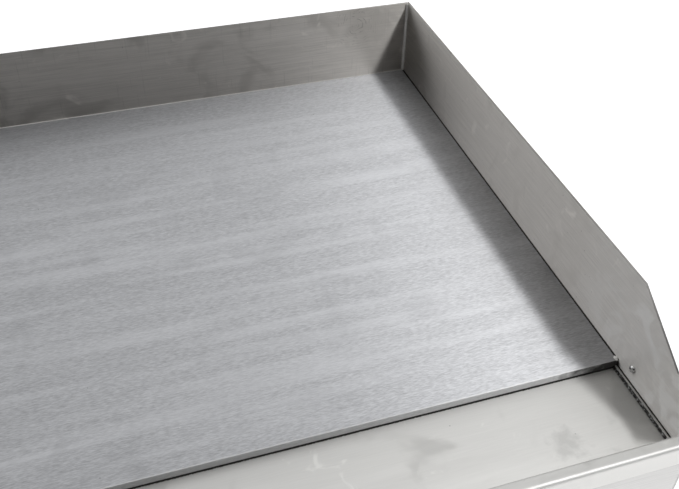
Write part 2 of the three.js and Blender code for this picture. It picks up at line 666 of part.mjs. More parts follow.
function addSensors() {
  const bulbZ = PLATE_BOTTOM - 3.7;
  const profile = [[0, 0], [1.8, 0.6], [3, 3], [3, 87], [1.8, 89.4], [0, 90]];
  const canRear = PANEL_BACK + GAP + 24;
  for (const [name, side] of [['left', -1], ['right', 1]]) {
    const bulb = turnedRearward(profile, 12).translate(side * BULB_X, BULB_FRONT, bulbZ);
    addPiece(`${name}_sensor_bulb`, bulb, 'copper');
    const route = [
      [side * BULB_X, BULB_FRONT - 0.5, bulbZ],
      [side * BULB_X, PLATE_FRONT + 25, bulbZ - 1],
      [side * (BULB_X + 4), PLATE_FRONT - 3, bulbZ - 5],
      [side * (BULB_X + 34), PLATE_FRONT - 22, SPLASH_FOOT],
      [side * (KNOB_X - 12), PLATE_FRONT - 30, KNOB_Z + 28],
      [side * KNOB_X, canRear + 14, KNOB_Z + 14],
      [side * KNOB_X, canRear + 1.5, KNOB_Z + 8],
    ];
    addPiece(`${name}_capillary`, wire(route, 1), 'copper');
  }
}

const BLOCK = { x: [255, 305], y: [REAR - 56, REAR - 32], z: [FOOT_HEIGHT + 1.5, FOOT_HEIGHT + 21.5] };

function addSupply() {
  const body = box(BLOCK.x, BLOCK.y, BLOCK.z);
  const wells = [264, 280, 296].map((x) => rodZ(3.5, [BLOCK.z[1] - 7, BLOCK.z[1] + 2], x, REAR - 44, 10));
  addPiece('terminal_block', cut(body, ...wells), 'ceramic_fibre');

  const bore = 4.5;
  const gland = turnedRearward([
    [bore, -12], [8, -12], [8, GAP], [12.5, GAP], [12.5, 5.3], [11, 5.3], [11, 13],
    [8, GLAND_REACH], [bore, GLAND_REACH], [bore, -12],
  ]);
  addPiece('cable_gland', gland.translate(GLAND_X, CASE_REAR, GLAND_Z), 'black_plastic');
  const nut = turnedRearward([[8.4, 0], [13, 0], [13, 5], [8.4, 5], [8.4, 0]], 12);
  const nutFace = CASE_REAR - BODY_SHEET - GAP - 5;
  addPiece('gland_nut', nut.translate(GLAND_X, nutFace, GLAND_Z), 'black_plastic');
  const stud = turnedRearward([
    [0, -14], [3, -14], [3, GAP], [6.5, GAP], [6.5, 1.5], [5.5, 1.5], [5.5, 6], [3, 6], [3, 12], [0, 12],
  ], 12);
  addPiece('earth_stud', stud.translate(GLAND_X + 38, CASE_REAR, GLAND_Z), 'zinc_steel');
}

// Wiring of one zone: block to thermostat, thermostat to element, element back to block.
function addWiring() {
  const low = FOOT_HEIGHT + 7;
  const canRear = PANEL_BACK + GAP + 26;
  const blockTop = BLOCK.z[1] + 2;
  const legFoot = ELEMENT_Z - 39.5;
  const legY = REAR - 26;
  const lastX = ELEMENT_FIRST_X + 5 * ELEMENT_PITCH;
  for (const [name, side, step] of [['left', -1, 0], ['right', 1, 16]]) {
    const feedX = 264 + step;
    const supply = [
      [feedX, REAR - 49, blockTop], [feedX, REAR - 56, blockTop + 9], [feedX - 10, REAR - 82, low + 6],
      [side * 150, REAR - 170, low], [side * 215, REAR - 290, low], [side * 238, canRear + 40, low + 12],
      [side * 240, canRear + 16, KNOB_Z - 12], [side * 240, canRear, KNOB_Z - 8],
    ];
    addPiece(`${name}_supply_wire`, wire(supply, 1.6), 'brown_wire');
    const output = [
      [side * 260, canRear, KNOB_Z - 6], [side * 262, canRear + 18, KNOB_Z - 10],
      [side * 300, canRear + 90, 80], [side * 330, REAR - 220, 90],
      [side * 330, REAR - 80, 96], [side * (lastX + 8), legY - 6, legFoot - 16], [side * lastX, legY, legFoot],
    ];
    addPiece(`${name}_element_wire`, wire(output, 1.6), 'brown_wire');
  }
  const neutral = [
    [296, REAR - 39, blockTop], [296, REAR - 36, blockTop + 12], [250, REAR - 30, 84],
    [120, legY - 2, 92], [48, legY, legFoot - 14], [ELEMENT_FIRST_X, legY, legFoot],
  ];
  addPiece('right_return_wire', wire(neutral, 1.6), 'brown_wire');
  const bridge = [
    [-ELEMENT_FIRST_X, legY, legFoot], [-ELEMENT_FIRST_X - 4, legY, legFoot - 14], [-20, REAR - 50, 76],
    [120, REAR - 66, 64], [240, REAR - 74, 60], [248, REAR - 62, 55], [252.5, REAR - 50, 50],
  ];
  addPiece('left_return_wire', wire(bridge, 1.6), 'brown_wire');
}

addCookingTop();
addSplashGuard();
addTrough();
addPlateRails();
addSidePanels();
addRearPanel();
addBasePan();
addFeet();
addControlPanel();
addDrawer();
addDrawerRunners();
addThermostats();
addKnobs();
addLamps();
addHeating();
addShield();
addSensors();
addSupply();
addWiring();

export default griddle;
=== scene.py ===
"""Looks of a countertop flat top griddle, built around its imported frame. Metres, +Z up, the cook at -Y."""
import json
import math
import random

import bmesh
import bpy
from bpy.props import FloatProperty, FloatVectorProperty, IntProperty, PointerProperty
from bpy.types import Operator, Panel, PropertyGroup
from mathutils import Matrix, Vector


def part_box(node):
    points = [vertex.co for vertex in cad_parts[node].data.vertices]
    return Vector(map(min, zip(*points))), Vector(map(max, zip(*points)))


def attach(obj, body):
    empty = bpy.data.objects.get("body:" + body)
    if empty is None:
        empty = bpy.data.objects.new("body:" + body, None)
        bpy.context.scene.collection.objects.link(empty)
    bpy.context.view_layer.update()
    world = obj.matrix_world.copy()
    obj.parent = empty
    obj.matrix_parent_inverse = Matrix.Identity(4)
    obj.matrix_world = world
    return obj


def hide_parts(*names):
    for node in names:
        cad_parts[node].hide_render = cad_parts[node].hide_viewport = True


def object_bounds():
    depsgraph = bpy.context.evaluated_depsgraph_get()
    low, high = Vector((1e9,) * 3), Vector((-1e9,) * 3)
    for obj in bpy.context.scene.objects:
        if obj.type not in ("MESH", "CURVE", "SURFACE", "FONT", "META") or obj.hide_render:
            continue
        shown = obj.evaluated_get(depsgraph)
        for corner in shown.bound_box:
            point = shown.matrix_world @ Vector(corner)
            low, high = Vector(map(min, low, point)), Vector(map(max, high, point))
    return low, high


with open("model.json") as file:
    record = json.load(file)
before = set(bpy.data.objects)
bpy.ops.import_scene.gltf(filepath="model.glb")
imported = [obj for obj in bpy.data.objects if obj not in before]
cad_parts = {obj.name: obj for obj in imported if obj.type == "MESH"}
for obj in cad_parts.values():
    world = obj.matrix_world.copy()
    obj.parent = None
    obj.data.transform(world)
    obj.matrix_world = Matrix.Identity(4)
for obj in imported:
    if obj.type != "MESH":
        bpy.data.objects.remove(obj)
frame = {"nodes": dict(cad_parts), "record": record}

bl_info = {
    "name": "Flat Top Griddle",
    "version": (1, 0, 0),
    "blender": (4, 5, 0),
    "location": "3D View > Sidebar > Griddle",
    "description": "Builds the finished pieces, finishes and stage of a countertop flat top griddle",
    "category": "Object",
}

MM = 0.001
ACROSS = (1, 0, 0)
DEEP = (0, 1, 0)
UP = (0, 0, 1)
CAD_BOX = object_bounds()

# Stations taken from the frame.
PLATE_LOW, PLATE_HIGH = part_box("griddle_plate")
WALL_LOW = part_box("right_splash")[0]
BACK_LOW, BACK_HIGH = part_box("back_splash")
TROUGH_LOW, TROUGH_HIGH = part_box("front_trough")
SIDE_LOW, SIDE_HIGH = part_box("right_side_panel")
REAR_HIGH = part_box("rear_panel")[1]
PANEL_LOW, PANEL_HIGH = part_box("control_panel")
SPOUT_LOW, SPOUT_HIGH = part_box("drain_spout")
PLATE_TOP = PLATE_HIGH.z
PLATE_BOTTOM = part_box("left_plate_rail")[1].z + 0.3 * MM
PLATE_FRONT = PLATE_LOW.y
REAR = BACK_LOW.y
WALL_INNER = WALL_LOW.x
PANEL_FACE = PANEL_LOW.y
SHEET = 1.2 * MM
TROUGH_FLOOR = SPOUT_HIGH.z + 0.3 * MM + SHEET

# Finishes and light that the node trees use.
RESIDUE_AND_SEAM_SHADE = (0.022, 0.019, 0.017)  # colour of baked residue, also used for painted shade in seams and under edges
FAR = 9.0  # beyond every piece, in metres
SPLASH_ROUGHNESS = 0.46
SPLASH_STRETCH = 0.97  # how far the splash guard's highlights stretch across its brushing
ROOM_LEAN = 0.25  # how much the room's bright wall turns to the left
ROOM_EDGE = 0.1  # where the bright wall starts
ROOM_FRONT = 0.03  # level on the cook's side
ROOM_BEHIND = 1.06  # level of the bright wall
ROOM_ABOVE = 0.74  # level overhead
ROOM_TILT = 0.18  # how much the overhead light turns to the right
ROOM_HORIZON = 0.2  # level near the floor
KEY_POWER = 8.0
KEY_PLACE = Vector((1.04, -0.56, 1.70))
KEY_SIZE = (0.3, 0.14)
FLOOR_GLOW = 0.6
# The view: lens in mm, offset from the plate's back right corner in metres, angles in degrees.
VIEW_LENS = 46.70
VIEW_FROM_CORNER = Vector((-0.3050, -0.7091, 0.4343))
VIEW_HEADING = -19.015
VIEW_PITCH = 40.79
VIEW_ROLL = 1.633


# ---------------------------------------------------------------- sizes and colours a user may change

class GriddleSizes(PropertyGroup):
    """Sizes of the fine shapes."""
    edge: FloatProperty(name="Edge", description="Radius on cut sheet edges", default=0.25 * MM,
                        unit="LENGTH", precision=5)
    plate_edge: FloatProperty(name="Plate edge", description="Radius on the plate's edges", default=0.5 * MM,
                              unit="LENGTH", precision=5)
    bend: FloatProperty(name="Bend", description="Outer radius of a fold", default=2.6 * MM,
                        unit="LENGTH", precision=5)
    weld: FloatProperty(name="Weld", description="Half width of a corner weld", default=1.6 * MM,
                        unit="LENGTH", precision=5)
    screw_head: FloatProperty(name="Screw head", description="Radius of a screw's head", default=3.6 * MM,
                              unit="LENGTH", precision=5)
    louver_rise: FloatProperty(name="Louver rise", description="How far a louver stands out",
                               default=3.2 * MM, unit="LENGTH", precision=5)
    facets: IntProperty(name="Facets", description="Steps round a turned piece", default=64, min=12, max=128)


class GriddleColours(PropertyGroup):
    """Colours of the finishes."""
    plate: FloatVectorProperty(name="Plate", description="Ground plate", subtype="COLOR",
                               default=(0.635, 0.64, 0.655))
    splash: FloatVectorProperty(name="Splash", description="Satin splash guard", subtype="COLOR",
                                default=(0.675, 0.65, 0.617))
    trough: FloatVectorProperty(name="Trough", description="Smooth trough steel", subtype="COLOR",
                                default=(0.715, 0.71, 0.69))
    casing: FloatVectorProperty(name="Casing", description="Brushed casing steel", subtype="COLOR",
                                default=(0.62, 0.615, 0.605))
    knob: FloatVectorProperty(name="Knob", description="Black moulded knob", subtype="COLOR",
                              default=(0.016, 0.016, 0.017))
    power: FloatVectorProperty(name="Power lamp", description="Green lens", subtype="COLOR",
                               default=(0.03, 0.36, 0.10))
    heating: FloatVectorProperty(name="Heating lamp", description="Amber lens", subtype="COLOR",
                                 default=(0.80, 0.30, 0.02))


def sizes():
    return bpy.context.scene.griddle_sizes


def colours():
    return bpy.context.scene.griddle_colours


# ---------------------------------------------------------------- node helpers

def add_node(tree, kind, inputs=None, **settings):
    """A node with its settings and input values; an input that is a socket is linked."""
    node = tree.nodes.new(kind)
    for name, value in settings.items():
        setattr(node, name, value)
    for key, value in (inputs or {}).items():
        if isinstance(value, bpy.types.NodeSocket):
            tree.links.new(value, node.inputs[key])
        else:
            node.inputs[key].default_value = value
    return node


def math_node(tree, operation, first, second=0.0, clamp=False):
    node = add_node(tree, "ShaderNodeMath", {0: first, 1: second}, operation=operation, use_clamp=clamp)
    return node.outputs[0]


def times(tree, first, second):
    return math_node(tree, "MULTIPLY", first, second)


def noise_value(tree, place, scale, detail):
    node = add_node(tree, "ShaderNodeTexNoise", {"Vector": place, "Scale": scale, "Detail": detail})
    return node.outputs["Fac"]


def blend_values(tree, factor, first, second):
    return add_node(tree, "ShaderNodeMix", {0: factor, 2: first, 3: second}).outputs[0]


def remap(tree, value, low, high, to_low=0.0, to_high=1.0):
    values = {"Value": value, "From Min": low, "From Max": high, "To Min": to_low, "To Max": to_high}
    return add_node(tree, "ShaderNodeMapRange", values, clamp=True).outputs[0]


def blend_colours(tree, factor, first, second, mode="MIX"):
    node = tree.nodes.new("ShaderNodeMix")
    node.data_type = "RGBA"
    node.blend_type = mode
    for index, value in ((0, factor), (6, first), (7, second)):
        if isinstance(value, bpy.types.NodeSocket):
            tree.links.new(value, node.inputs[index])
        else:
            node.inputs[index].default_value = value if index == 0 else (*value[:3], 1.0)
    return node.outputs[2]


def shader_group(name, inputs, outputs):
    """An empty node group with float or vector sockets. Returns the tree, its input node and output node."""
    tree = bpy.data.node_groups.new(name, "ShaderNodeTree")
    for label, kind, default in inputs:
        socket = tree.interface.new_socket(label, in_out="INPUT", socket_type=kind)
        if default is not None:
            socket.default_value = default
    for label, kind in outputs:
        tree.interface.new_socket(label, in_out="OUTPUT", socket_type=kind)
    return tree, tree.nodes.new("NodeGroupInput"), tree.nodes.new("NodeGroupOutput")


def group_node(tree, group, inputs):
    return add_node(tree, "ShaderNodeGroup", inputs, node_tree=group)


FLOAT = "NodeSocketFloat"
VECTOR = "NodeSocketVector"


def grain_group():
    """Brushed grain: short dashes and broad streaks that run along the brushing direction."""
    found = bpy.data.node_groups.get("Brushed grain")
    if found:
        return found
    tree, given, result = shader_group(
        "Brushed grain",
        [("Vector", VECTOR, None), ("Along", VECTOR, (1.0, 0.0, 0.0)), ("Dash length", FLOAT, 0.008),
         ("Dash width", FLOAT, 0.0006), ("Streak length", FLOAT, 0.15), ("Streak width", FLOAT, 0.009)],
        [("Dashes", FLOAT), ("Streaks", FLOAT)],
    )
    for label, long_side, short_side, detail in (
        ("Dashes", "Dash length", "Dash width", 3.0),
        ("Streaks", "Streak length", "Streak width", 4.0),
    ):
        along = math_node(tree, "DIVIDE", 1.0, given.outputs[long_side])
        across = math_node(tree, "DIVIDE", 1.0, given.outputs[short_side])
        difference = math_node(tree, "SUBTRACT", along, across)
        lean = add_node(tree, "ShaderNodeVectorMath", {0: given.outputs["Along"], "Scale": difference},
                        operation="SCALE").outputs[0]
        spread = add_node(tree, "ShaderNodeCombineXYZ", {"X": across, "Y": across, "Z": across}).outputs[0]
        scale = add_node(tree, "ShaderNodeVectorMath", {0: lean, 1: spread}, operation="ADD").outputs[0]
        place = add_node(tree, "ShaderNodeVectorMath", {0: given.outputs["Vector"], 1: scale},
                         operation="MULTIPLY").outputs[0]
        noise = add_node(tree, "ShaderNodeTexNoise", {"Vector": place, "Scale": 1.0, "Detail": detail,
                                                     "Roughness": 0.6})
        tree.links.new(noise.outputs["Fac"], result.inputs[label])
    return tree


def wipe_group():
    """Soft wiped smudges and cloudy patches."""
    found = bpy.data.node_groups.get("Wipe marks")
    if found:
        return found
    tree, given, result = shader_group(
        "Wipe marks", [("Vector", VECTOR, None), ("Size", FLOAT, 0.05), ("Cover", FLOAT, 0.5)],
        [("Mask", FLOAT)],
    )
    scale = math_node(tree, "DIVIDE", 1.0, given.outputs["Size"])
    cloud = add_node(tree, "ShaderNodeTexNoise", {"Vector": given.outputs["Vector"], "Scale": scale,
                                                 "Detail": 3.0, "Distortion": 1.2}).outputs["Fac"]
    low = math_node(tree, "SUBTRACT", 0.75, times(tree, given.outputs["Cover"], 0.4))
    mask = add_node(tree, "ShaderNodeMapRange", {"Value": cloud, "From Min": low,
                                                 "From Max": math_node(tree, "ADD", low, 0.16)},
                    interpolation_type="SMOOTHSTEP").outputs[0]
    tree.links.new(mask, result.inputs["Mask"])
    return tree


def speck_group():
    """Sparse small pits or specks."""
    found = bpy.data.node_groups.get("Specks")
    if found:
        return found
    tree, given, result = shader_group(
        "Specks", [("Vector", VECTOR, None), ("Spacing", FLOAT, 0.01), ("Share", FLOAT, 0.1),
                   ("Size", FLOAT, 0.1)],
        [("Mask", FLOAT)],
    )
    scale = math_node(tree, "DIVIDE", 1.0, given.outputs["Spacing"])
    cells = add_node(tree, "ShaderNodeTexVoronoi", {"Vector": given.outputs["Vector"], "Scale": scale})
    chosen = add_node(tree, "ShaderNodeSeparateColor", {"Color": cells.outputs["Color"]}).outputs[0]
    is_chosen = math_node(tree, "LESS_THAN", chosen, given.outputs["Share"])
    near = add_node(tree, "ShaderNodeMapRange", {"Value": cells.outputs["Distance"], "From Min": 0.0,
                                                 "From Max": given.outputs["Size"], "To Min": 1.0,
                                                 "To Max": 0.0}).outputs[0]
    tree.links.new(math_node(tree, "MULTIPLY", is_chosen, near, clamp=True), result.inputs["Mask"])
    return tree


def new_material(name):
    material = bpy.data.materials.new(name)
    material.use_nodes = True
    tree = material.node_tree
    tree.nodes.clear()
    shader = tree.nodes.new("ShaderNodeBsdfPrincipled")
    output = tree.nodes.new("ShaderNodeOutputMaterial")
    tree.links.new(shader.outputs[0], output.inputs[0])
    place = tree.nodes.new("ShaderNodeTexCoord").outputs["Object"]
    return material, tree, shader, place


def set_bump(tree, shader, height, strength, distance):
    bump = add_node(tree, "ShaderNodeBump", {"Height": height, "Strength": strength, "Distance": distance})
    tree.links.new(bump.outputs[0], shader.inputs["Normal"])


def wobbled(tree, place, axis, size=0.0012, reach=0.0005, absolute=False):
    """One coordinate, or its distance from the middle, with a small uneven offset."""
    parts = add_node(tree, "ShaderNodeSeparateXYZ", {0: place})
    value = parts.outputs[axis]
    if absolute:
        value = math_node(tree, "ABSOLUTE", value)
    noise = noise_value(tree, place, 1.0 / size, 3.0)
    offset = times(tree, math_node(tree, "SUBTRACT", noise, 0.5), 2.0 * reach)
    return math_node(tree, "ADD", value, offset)


def within(tree, value, low, high, soft=0.0002):
    """1 between two limits, with soft ends."""
    rise = remap(tree, value, low - soft, low + soft)
    fall = remap(tree, value, high - soft, high + soft, 1.0, 0.0)
    return times(tree, rise, fall)


def brushed_steel(name, colour, along=ACROSS, roughness=0.4, anisotropy=0.6, dashes=0.3, streaks=0.2,
                  wipes=0.2, specks=0.0, depth=0.00002, dash=(0.008, 0.0006), streak=(0.15, 0.009),
                  hammer=0.0, residue_and_seam_shade=None, tone=None, smudge_and_painted_highlight=None):
    """Stainless sheet brushed along one axis, with wiped smudges, specks, painted highlights, and painted
    seam shade mixed with baked residue.
    """
    if name in bpy.data.materials:
        return bpy.data.materials[name]
    material, tree, shader, place = new_material(name)
    grain = group_node(tree, grain_group(), {
        "Vector": place, "Along": tuple(float(a) for a in along), "Dash length": dash[0],
        "Dash width": dash[1], "Streak length": streak[0], "Streak width": streak[1]})
    wiped = group_node(tree, wipe_group(), {"Vector": place, "Size": 0.05, "Cover": 0.55}).outputs["Mask"]
    fine = remap(tree, grain.outputs["Dashes"], 0.3, 0.7)
    broad = remap(tree, grain.outputs["Streaks"], 0.48, 0.72)
    dark = [c * (1 - dashes) for c in colour]
    light = [min(1.0, c * (1 + dashes)) for c in colour]
    shade = blend_colours(tree, fine, dark, light)
    lifted = [min(1.0, c * (1 + streaks)) for c in colour]
    shade = blend_colours(tree, times(tree, broad, 0.7), shade, lifted)
    shade = blend_colours(tree, times(tree, wiped, wipes), shade, [c * 0.82 for c in colour])
    lighter = group_node(tree, wipe_group(), {
        "Vector": add_node(tree, "ShaderNodeVectorMath", {0: place, 1: (0.7, 0.4, 0.9)}).outputs[0],
        "Size": 0.018, "Cover": 0.3}).outputs["Mask"]
    shade = blend_colours(tree, times(tree, lighter, wipes), shade,
                          [min(1.0, c * 1.3) for c in colour])
    if specks:
        spots = group_node(tree, speck_group(), {"Vector": place, "Spacing": 0.006, "Share": specks,
                                                 "Size": 0.09}).outputs["Mask"]
        shade = blend_colours(tree, spots, shade, [c * 0.3 for c in colour])
        flecks = group_node(tree, speck_group(), {
            "Vector": add_node(tree, "ShaderNodeVectorMath", {0: place, 1: (0.31, 0.17, 0.05)}).outputs[0],
            "Spacing": 0.008, "Share": specks, "Size": 0.08}).outputs["Mask"]
        shade = blend_colours(tree, flecks, shade, (0.98, 0.98, 0.96))
    if tone:
        shade = blend_colours(tree, tone(tree, place), shade, [c * 0.66 for c in colour])
    cut = tree.nodes.new("ShaderNodeAttribute")
    cut.attribute_name = "cut_edge"
    shade = blend_colours(tree, times(tree, cut.outputs["Fac"], 0.75), shade,
                          [c * 0.3 for c in colour])
    rough = math_node(tree, "ADD", remap(tree, grain.outputs["Streaks"], 0.3, 0.7, roughness + 0.03,
                                         roughness - 0.03),
                      times(tree, wiped, wipes * 0.15))
    # Painted highlight: lightens the colour and smooths the finish where the mask says; on the side walls it
    # also carries real pale smudges.
    if smudge_and_painted_highlight:
        smudge_and_highlight_mask = smudge_and_painted_highlight(tree, place)
        shade = blend_colours(tree, smudge_and_highlight_mask, shade, (0.90, 0.895, 0.88))
        rough = blend_values(tree, smudge_and_highlight_mask, rough, 0.46)
    # Painted shade, partly baked residue: darkens the colour and drops the metal in seams, gaps and under
    # edges.
    if residue_and_seam_shade:
        dirt_and_seam_shade = residue_and_seam_shade(tree, place)
        shade = blend_colours(tree, dirt_and_seam_shade, shade, RESIDUE_AND_SEAM_SHADE)
        rough = blend_values(tree, dirt_and_seam_shade, rough, 0.55)
        tree.links.new(math_node(tree, "SUBTRACT", 1.0, dirt_and_seam_shade), shader.inputs["Metallic"])
    else:
        shader.inputs["Metallic"].default_value = 1.0
    tree.links.new(shade, shader.inputs["Base Color"])
    tree.links.new(rough, shader.inputs["Roughness"])
    shader.inputs["Anisotropic"].default_value = anisotropy
    tangent = add_node(tree, "ShaderNodeTangent", direction_type="UV_MAP", uv_map="Brush")
    tree.links.new(tangent.outputs[0], shader.inputs["Tangent"])
    height = grain.outputs["Dashes"]
    if hammer:
        lumps = noise_value(tree, place, 700.0, 2.0)
        height = math_node(tree, "ADD", height, times(tree, lumps, hammer))
    set_bump(tree, shader, height, 0.6, depth)
    return material


def moulded(name, colour, roughness=0.4, grain_depth=0.00002, coat=0.0):
    """Moulded plastic or rubber with a fine leathery texture and slight dust."""
    if name in bpy.data.materials:
        return bpy.data.materials[name]
    material, tree, shader, place = new_material(name)
    pebble = noise_value(tree, place, 2600.0, 2.0)
    wiped = group_node(tree, wipe_group(), {"Vector": place, "Size": 0.012, "Cover": 0.5}).outputs["Mask"]
    dusty = [min(1.0, c * 1.5 + 0.012) for c in colour]
    tree.links.new(blend_colours(tree, times(tree, wiped, 0.4), colour, dusty),
                   shader.inputs["Base Color"])
    tree.links.new(remap(tree, wiped, 0.0, 1.0, roughness, roughness + 0.12), shader.inputs["Roughness"])
    shader.inputs["Coat Weight"].default_value = coat
    set_bump(tree, shader, pebble, 0.4, grain_depth)
    return material


def coloured_lens(name, colour):
    """Lamp lens: tinted moulding with a fine fresnel-cut grid and a faint glow of its own colour."""
    if name in bpy.data.materials:
        return bpy.data.materials[name]
    material, tree, shader, place = new_material(name)
    wave = add_node(tree, "ShaderNodeTexWave", {"Vector": place, "Scale": 900.0}, wave_type="RINGS",
                    rings_direction="Y").outputs["Fac"]
    tree.links.new(blend_colours(tree, wave, [c * 0.8 for c in colour], colour), shader.inputs["Base Color"])
    shader.inputs["Roughness"].default_value = 0.14
    shader.inputs["Coat Weight"].default_value = 0.6
    shader.inputs["Emission Color"].default_value = (*colour, 1.0)
    shader.inputs["Emission Strength"].default_value = 0.12
    set_bump(tree, shader, wave, 0.3, 0.0001)
    return material


def dull_metal(name, colour, roughness=0.5, mottle=0.02, metallic=1.0):
    """Zinc plate, oxidised sheath or copper: a mottled metal with no brushing."""
    if name in bpy.data.materials:
        return bpy.data.materials[name]
    material, tree, shader, place = new_material(name)
    cloud = group_node(tree, wipe_group(), {"Vector": place, "Size": mottle, "Cover": 0.6}).outputs["Mask"]
    flakes = add_node(tree, "ShaderNodeTexVoronoi", {"Vector": place, "Scale": 1.0 / (mottle * 0.4)})
    tone = remap(tree, flakes.outputs["Distance"], 0.0, 0.8, 0.0, 0.35)
    shade = blend_colours(tree, tone, colour, [c * 0.7 for c in colour])
    shade = blend_colours(tree, times(tree, cloud, 0.4), shade, [min(1, c * 1.2) for c in colour])
    tree.links.new(shade, shader.inputs["Base Color"])
    tree.links.new(remap(tree, cloud, 0.0, 1.0, roughness, roughness + 0.12), shader.inputs["Roughness"])
    shader.inputs["Metallic"].default_value = metallic
    grit = noise_value(tree, place, 900.0, 2.0)
    set_bump(tree, shader, grit, 0.3, 0.00003)
    return material


def plate_residue_and_shade(tree, place):
    """Painted shade, partly baked residue, at the side seams and under the front edge; baked residue in
    patches towards the front corners.
    """
    sides = within(tree, wobbled(tree, place, "X", absolute=True), PLATE_HIGH.x - 0.7 * MM, FAR)
    height = wobbled(tree, place, "Z", reach=0.0003)
    under = within(tree, height, -FAR, PLATE_BOTTOM + 0.8 * MM)
    face = within(tree, wobbled(tree, place, "Y", reach=0.0001), -FAR, PLATE_FRONT + 0.3 * MM, 0.0001)
    corner = remap(tree, wobbled(tree, place, "X", 0.006, 0.03, absolute=True), 0.315, 0.345)
    patches = times(tree, face, times(tree, corner, 0.9))
    return math_node(tree, "MAXIMUM", math_node(tree, "MAXIMUM", sides, under), patches)


def trough_residue_and_shade(tree, place):
    """Painted shade, flecked with baked residue, at the trough's ends below the flange's bright edge, and
    painted shade along the plate's foot.
    """
    ends = within(tree, wobbled(tree, place, "X", absolute=True), WALL_INNER - 3.4 * MM, FAR, 0.0004)
    flecks = noise_value(tree, place, 420.0, 2.0)
    ends = times(tree, ends, remap(tree, flecks, 0.40, 0.50, 0.35, 1.0))
    below = within(tree, wobbled(tree, place, "Z", reach=0.0003), -FAR, TROUGH_FLOOR + 2.2 * MM, 0.0001)
    foot = within(tree, wobbled(tree, place, "Y", reach=0.0004), PLATE_FRONT - 0.7 * MM, FAR)
    inside = within(tree, wobbled(tree, place, "Y", reach=0.0002), TROUGH_LOW.y + 9 * MM, FAR, 0.0008)
    ends = times(tree, ends, inside)
    return math_node(tree, "MAXIMUM", times(tree, ends, below), foot)


def lip_tone(tree, place):
    """The flat of the lip is duller than the trough floor."""
    height = within(tree, wobbled(tree, place, "Z", reach=0.00005), TROUGH_HIGH.z - 0.5 * MM, FAR, 0.0001)
    flat = within(tree, wobbled(tree, place, "Y", reach=0.0001), TROUGH_LOW.y + 2.4 * MM, FAR, 0.0006)
    flat = times(tree, times(tree, height, flat), 0.4)
    smudge = Vector((WALL_INNER - 63 * MM, TROUGH_LOW.y + 31 * MM, TROUGH_FLOOR))
    apart = add_node(tree, "ShaderNodeVectorMath", {0: place, 1: tuple(smudge)}, operation="DISTANCE")
    cloud = noise_value(tree, place, 150.0, 5.0)
    spread = math_node(tree, "SUBTRACT", apart.outputs["Value"], times(tree, cloud, 0.034))
    blot = remap(tree, spread, -14 * MM, -3 * MM, 0.45, 0.0)
    return math_node(tree, "MAXIMUM", flat, blot)


def lip_painted_highlight(tree, place):
    """Painted highlight: the lip's outer bend and the apron below it are painted bright."""
    front = within(tree, wobbled(tree, place, "Y", reach=0.0001), -FAR, TROUGH_LOW.y + 2.2 * MM, 0.0006)
    return times(tree, front, 0.5)


def plate_edge_painted_highlight(tree, place):
    """Painted highlight: the plate's front edge is painted lighter than its top."""
    front = within(tree, wobbled(tree, place, "Y", reach=0.0002), -FAR, PLATE_FRONT + 0.9 * MM, 0.0003)
    return times(tree, front, 0.3)


def wall_smudges_and_painted_light(tree, place):
    """Painted light: a side wall is painted lighter towards the cook, with pale smudges on it."""
    forward = remap(tree, add_node(tree, "ShaderNodeSeparateXYZ", {0: place}).outputs["Y"],
                    PLATE_FRONT + 70 * MM, PLATE_FRONT - 10 * MM)
    cloud = group_node(tree, wipe_group(), {"Vector": place, "Size": 0.028, "Cover": 0.75}).outputs["Mask"]
    haze = math_node(tree, "ADD", times(tree, cloud, 0.35), 0.25)
    return times(tree, forward, haze)


def wall_residue_and_shade(tree, place):
    """Painted shade of the gap along the foot of a side wall, partly baked residue: at the plate's top and,
    further forward, at the trough.
    """
    height = wobbled(tree, place, "Z", reach=0.0004)
    above_plate = within(tree, height, -FAR, PLATE_TOP + 0.6 * MM)
    trough = within(tree, wobbled(tree, place, "Y", reach=0.0002), -FAR, PLATE_FRONT)
    above_trough = within(tree, height, -FAR, TROUGH_FLOOR + 2.4 * MM)
    return blend_values(tree, trough, above_plate, above_trough)


def grinding_swirls(tree, place):
    """Curved marks left where the corner weld was ground back, and faint upright runs."""
    middle = Vector((WALL_INNER - 50 * MM, REAR, BACK_HIGH.z - 16 * MM))
    apart = add_node(tree, "ShaderNodeVectorMath", {0: place, 1: tuple(middle)}, operation="DISTANCE")
    distance = apart.outputs["Value"]
    warp = noise_value(tree, place, 60.0, 2.0)
    bent = math_node(tree, "ADD", distance, times(tree, warp, 0.018))
    rings = math_node(tree, "SINE", times(tree, bent, 2 * math.pi / (3.2 * MM)))
    near = remap(tree, distance, 10 * MM, 28 * MM, 1.0, 0.0)
    gaps = noise_value(tree, place, 190.0, 2.0)
    broken = remap(tree, gaps, 0.50, 0.60)
    swirls = times(tree, remap(tree, rings, 0.55, 0.95), times(tree, near, broken))
    runs = group_node(tree, grain_group(), {"Vector": place, "Along": (0.0, 0.0, 1.0), "Dash length": 0.05,
                                            "Dash width": 0.0016}).outputs["Dashes"]
    upright = times(tree, remap(tree, runs, 0.62, 0.72), 0.45)
    return math_node(tree, "MAXIMUM", swirls, upright)


def plate_steel():
    return brushed_steel("ground_plate_steel", colours().plate, roughness=0.54, anisotropy=0.88, dashes=0.2,
                         streaks=0.18, wipes=0.16, specks=0.03, depth=0.00005, dash=(0.004, 0.0006),
                         streak=(0.22, 0.011), hammer=0.8, residue_and_seam_shade=plate_residue_and_shade, smudge_and_painted_highlight=plate_edge_painted_highlight)


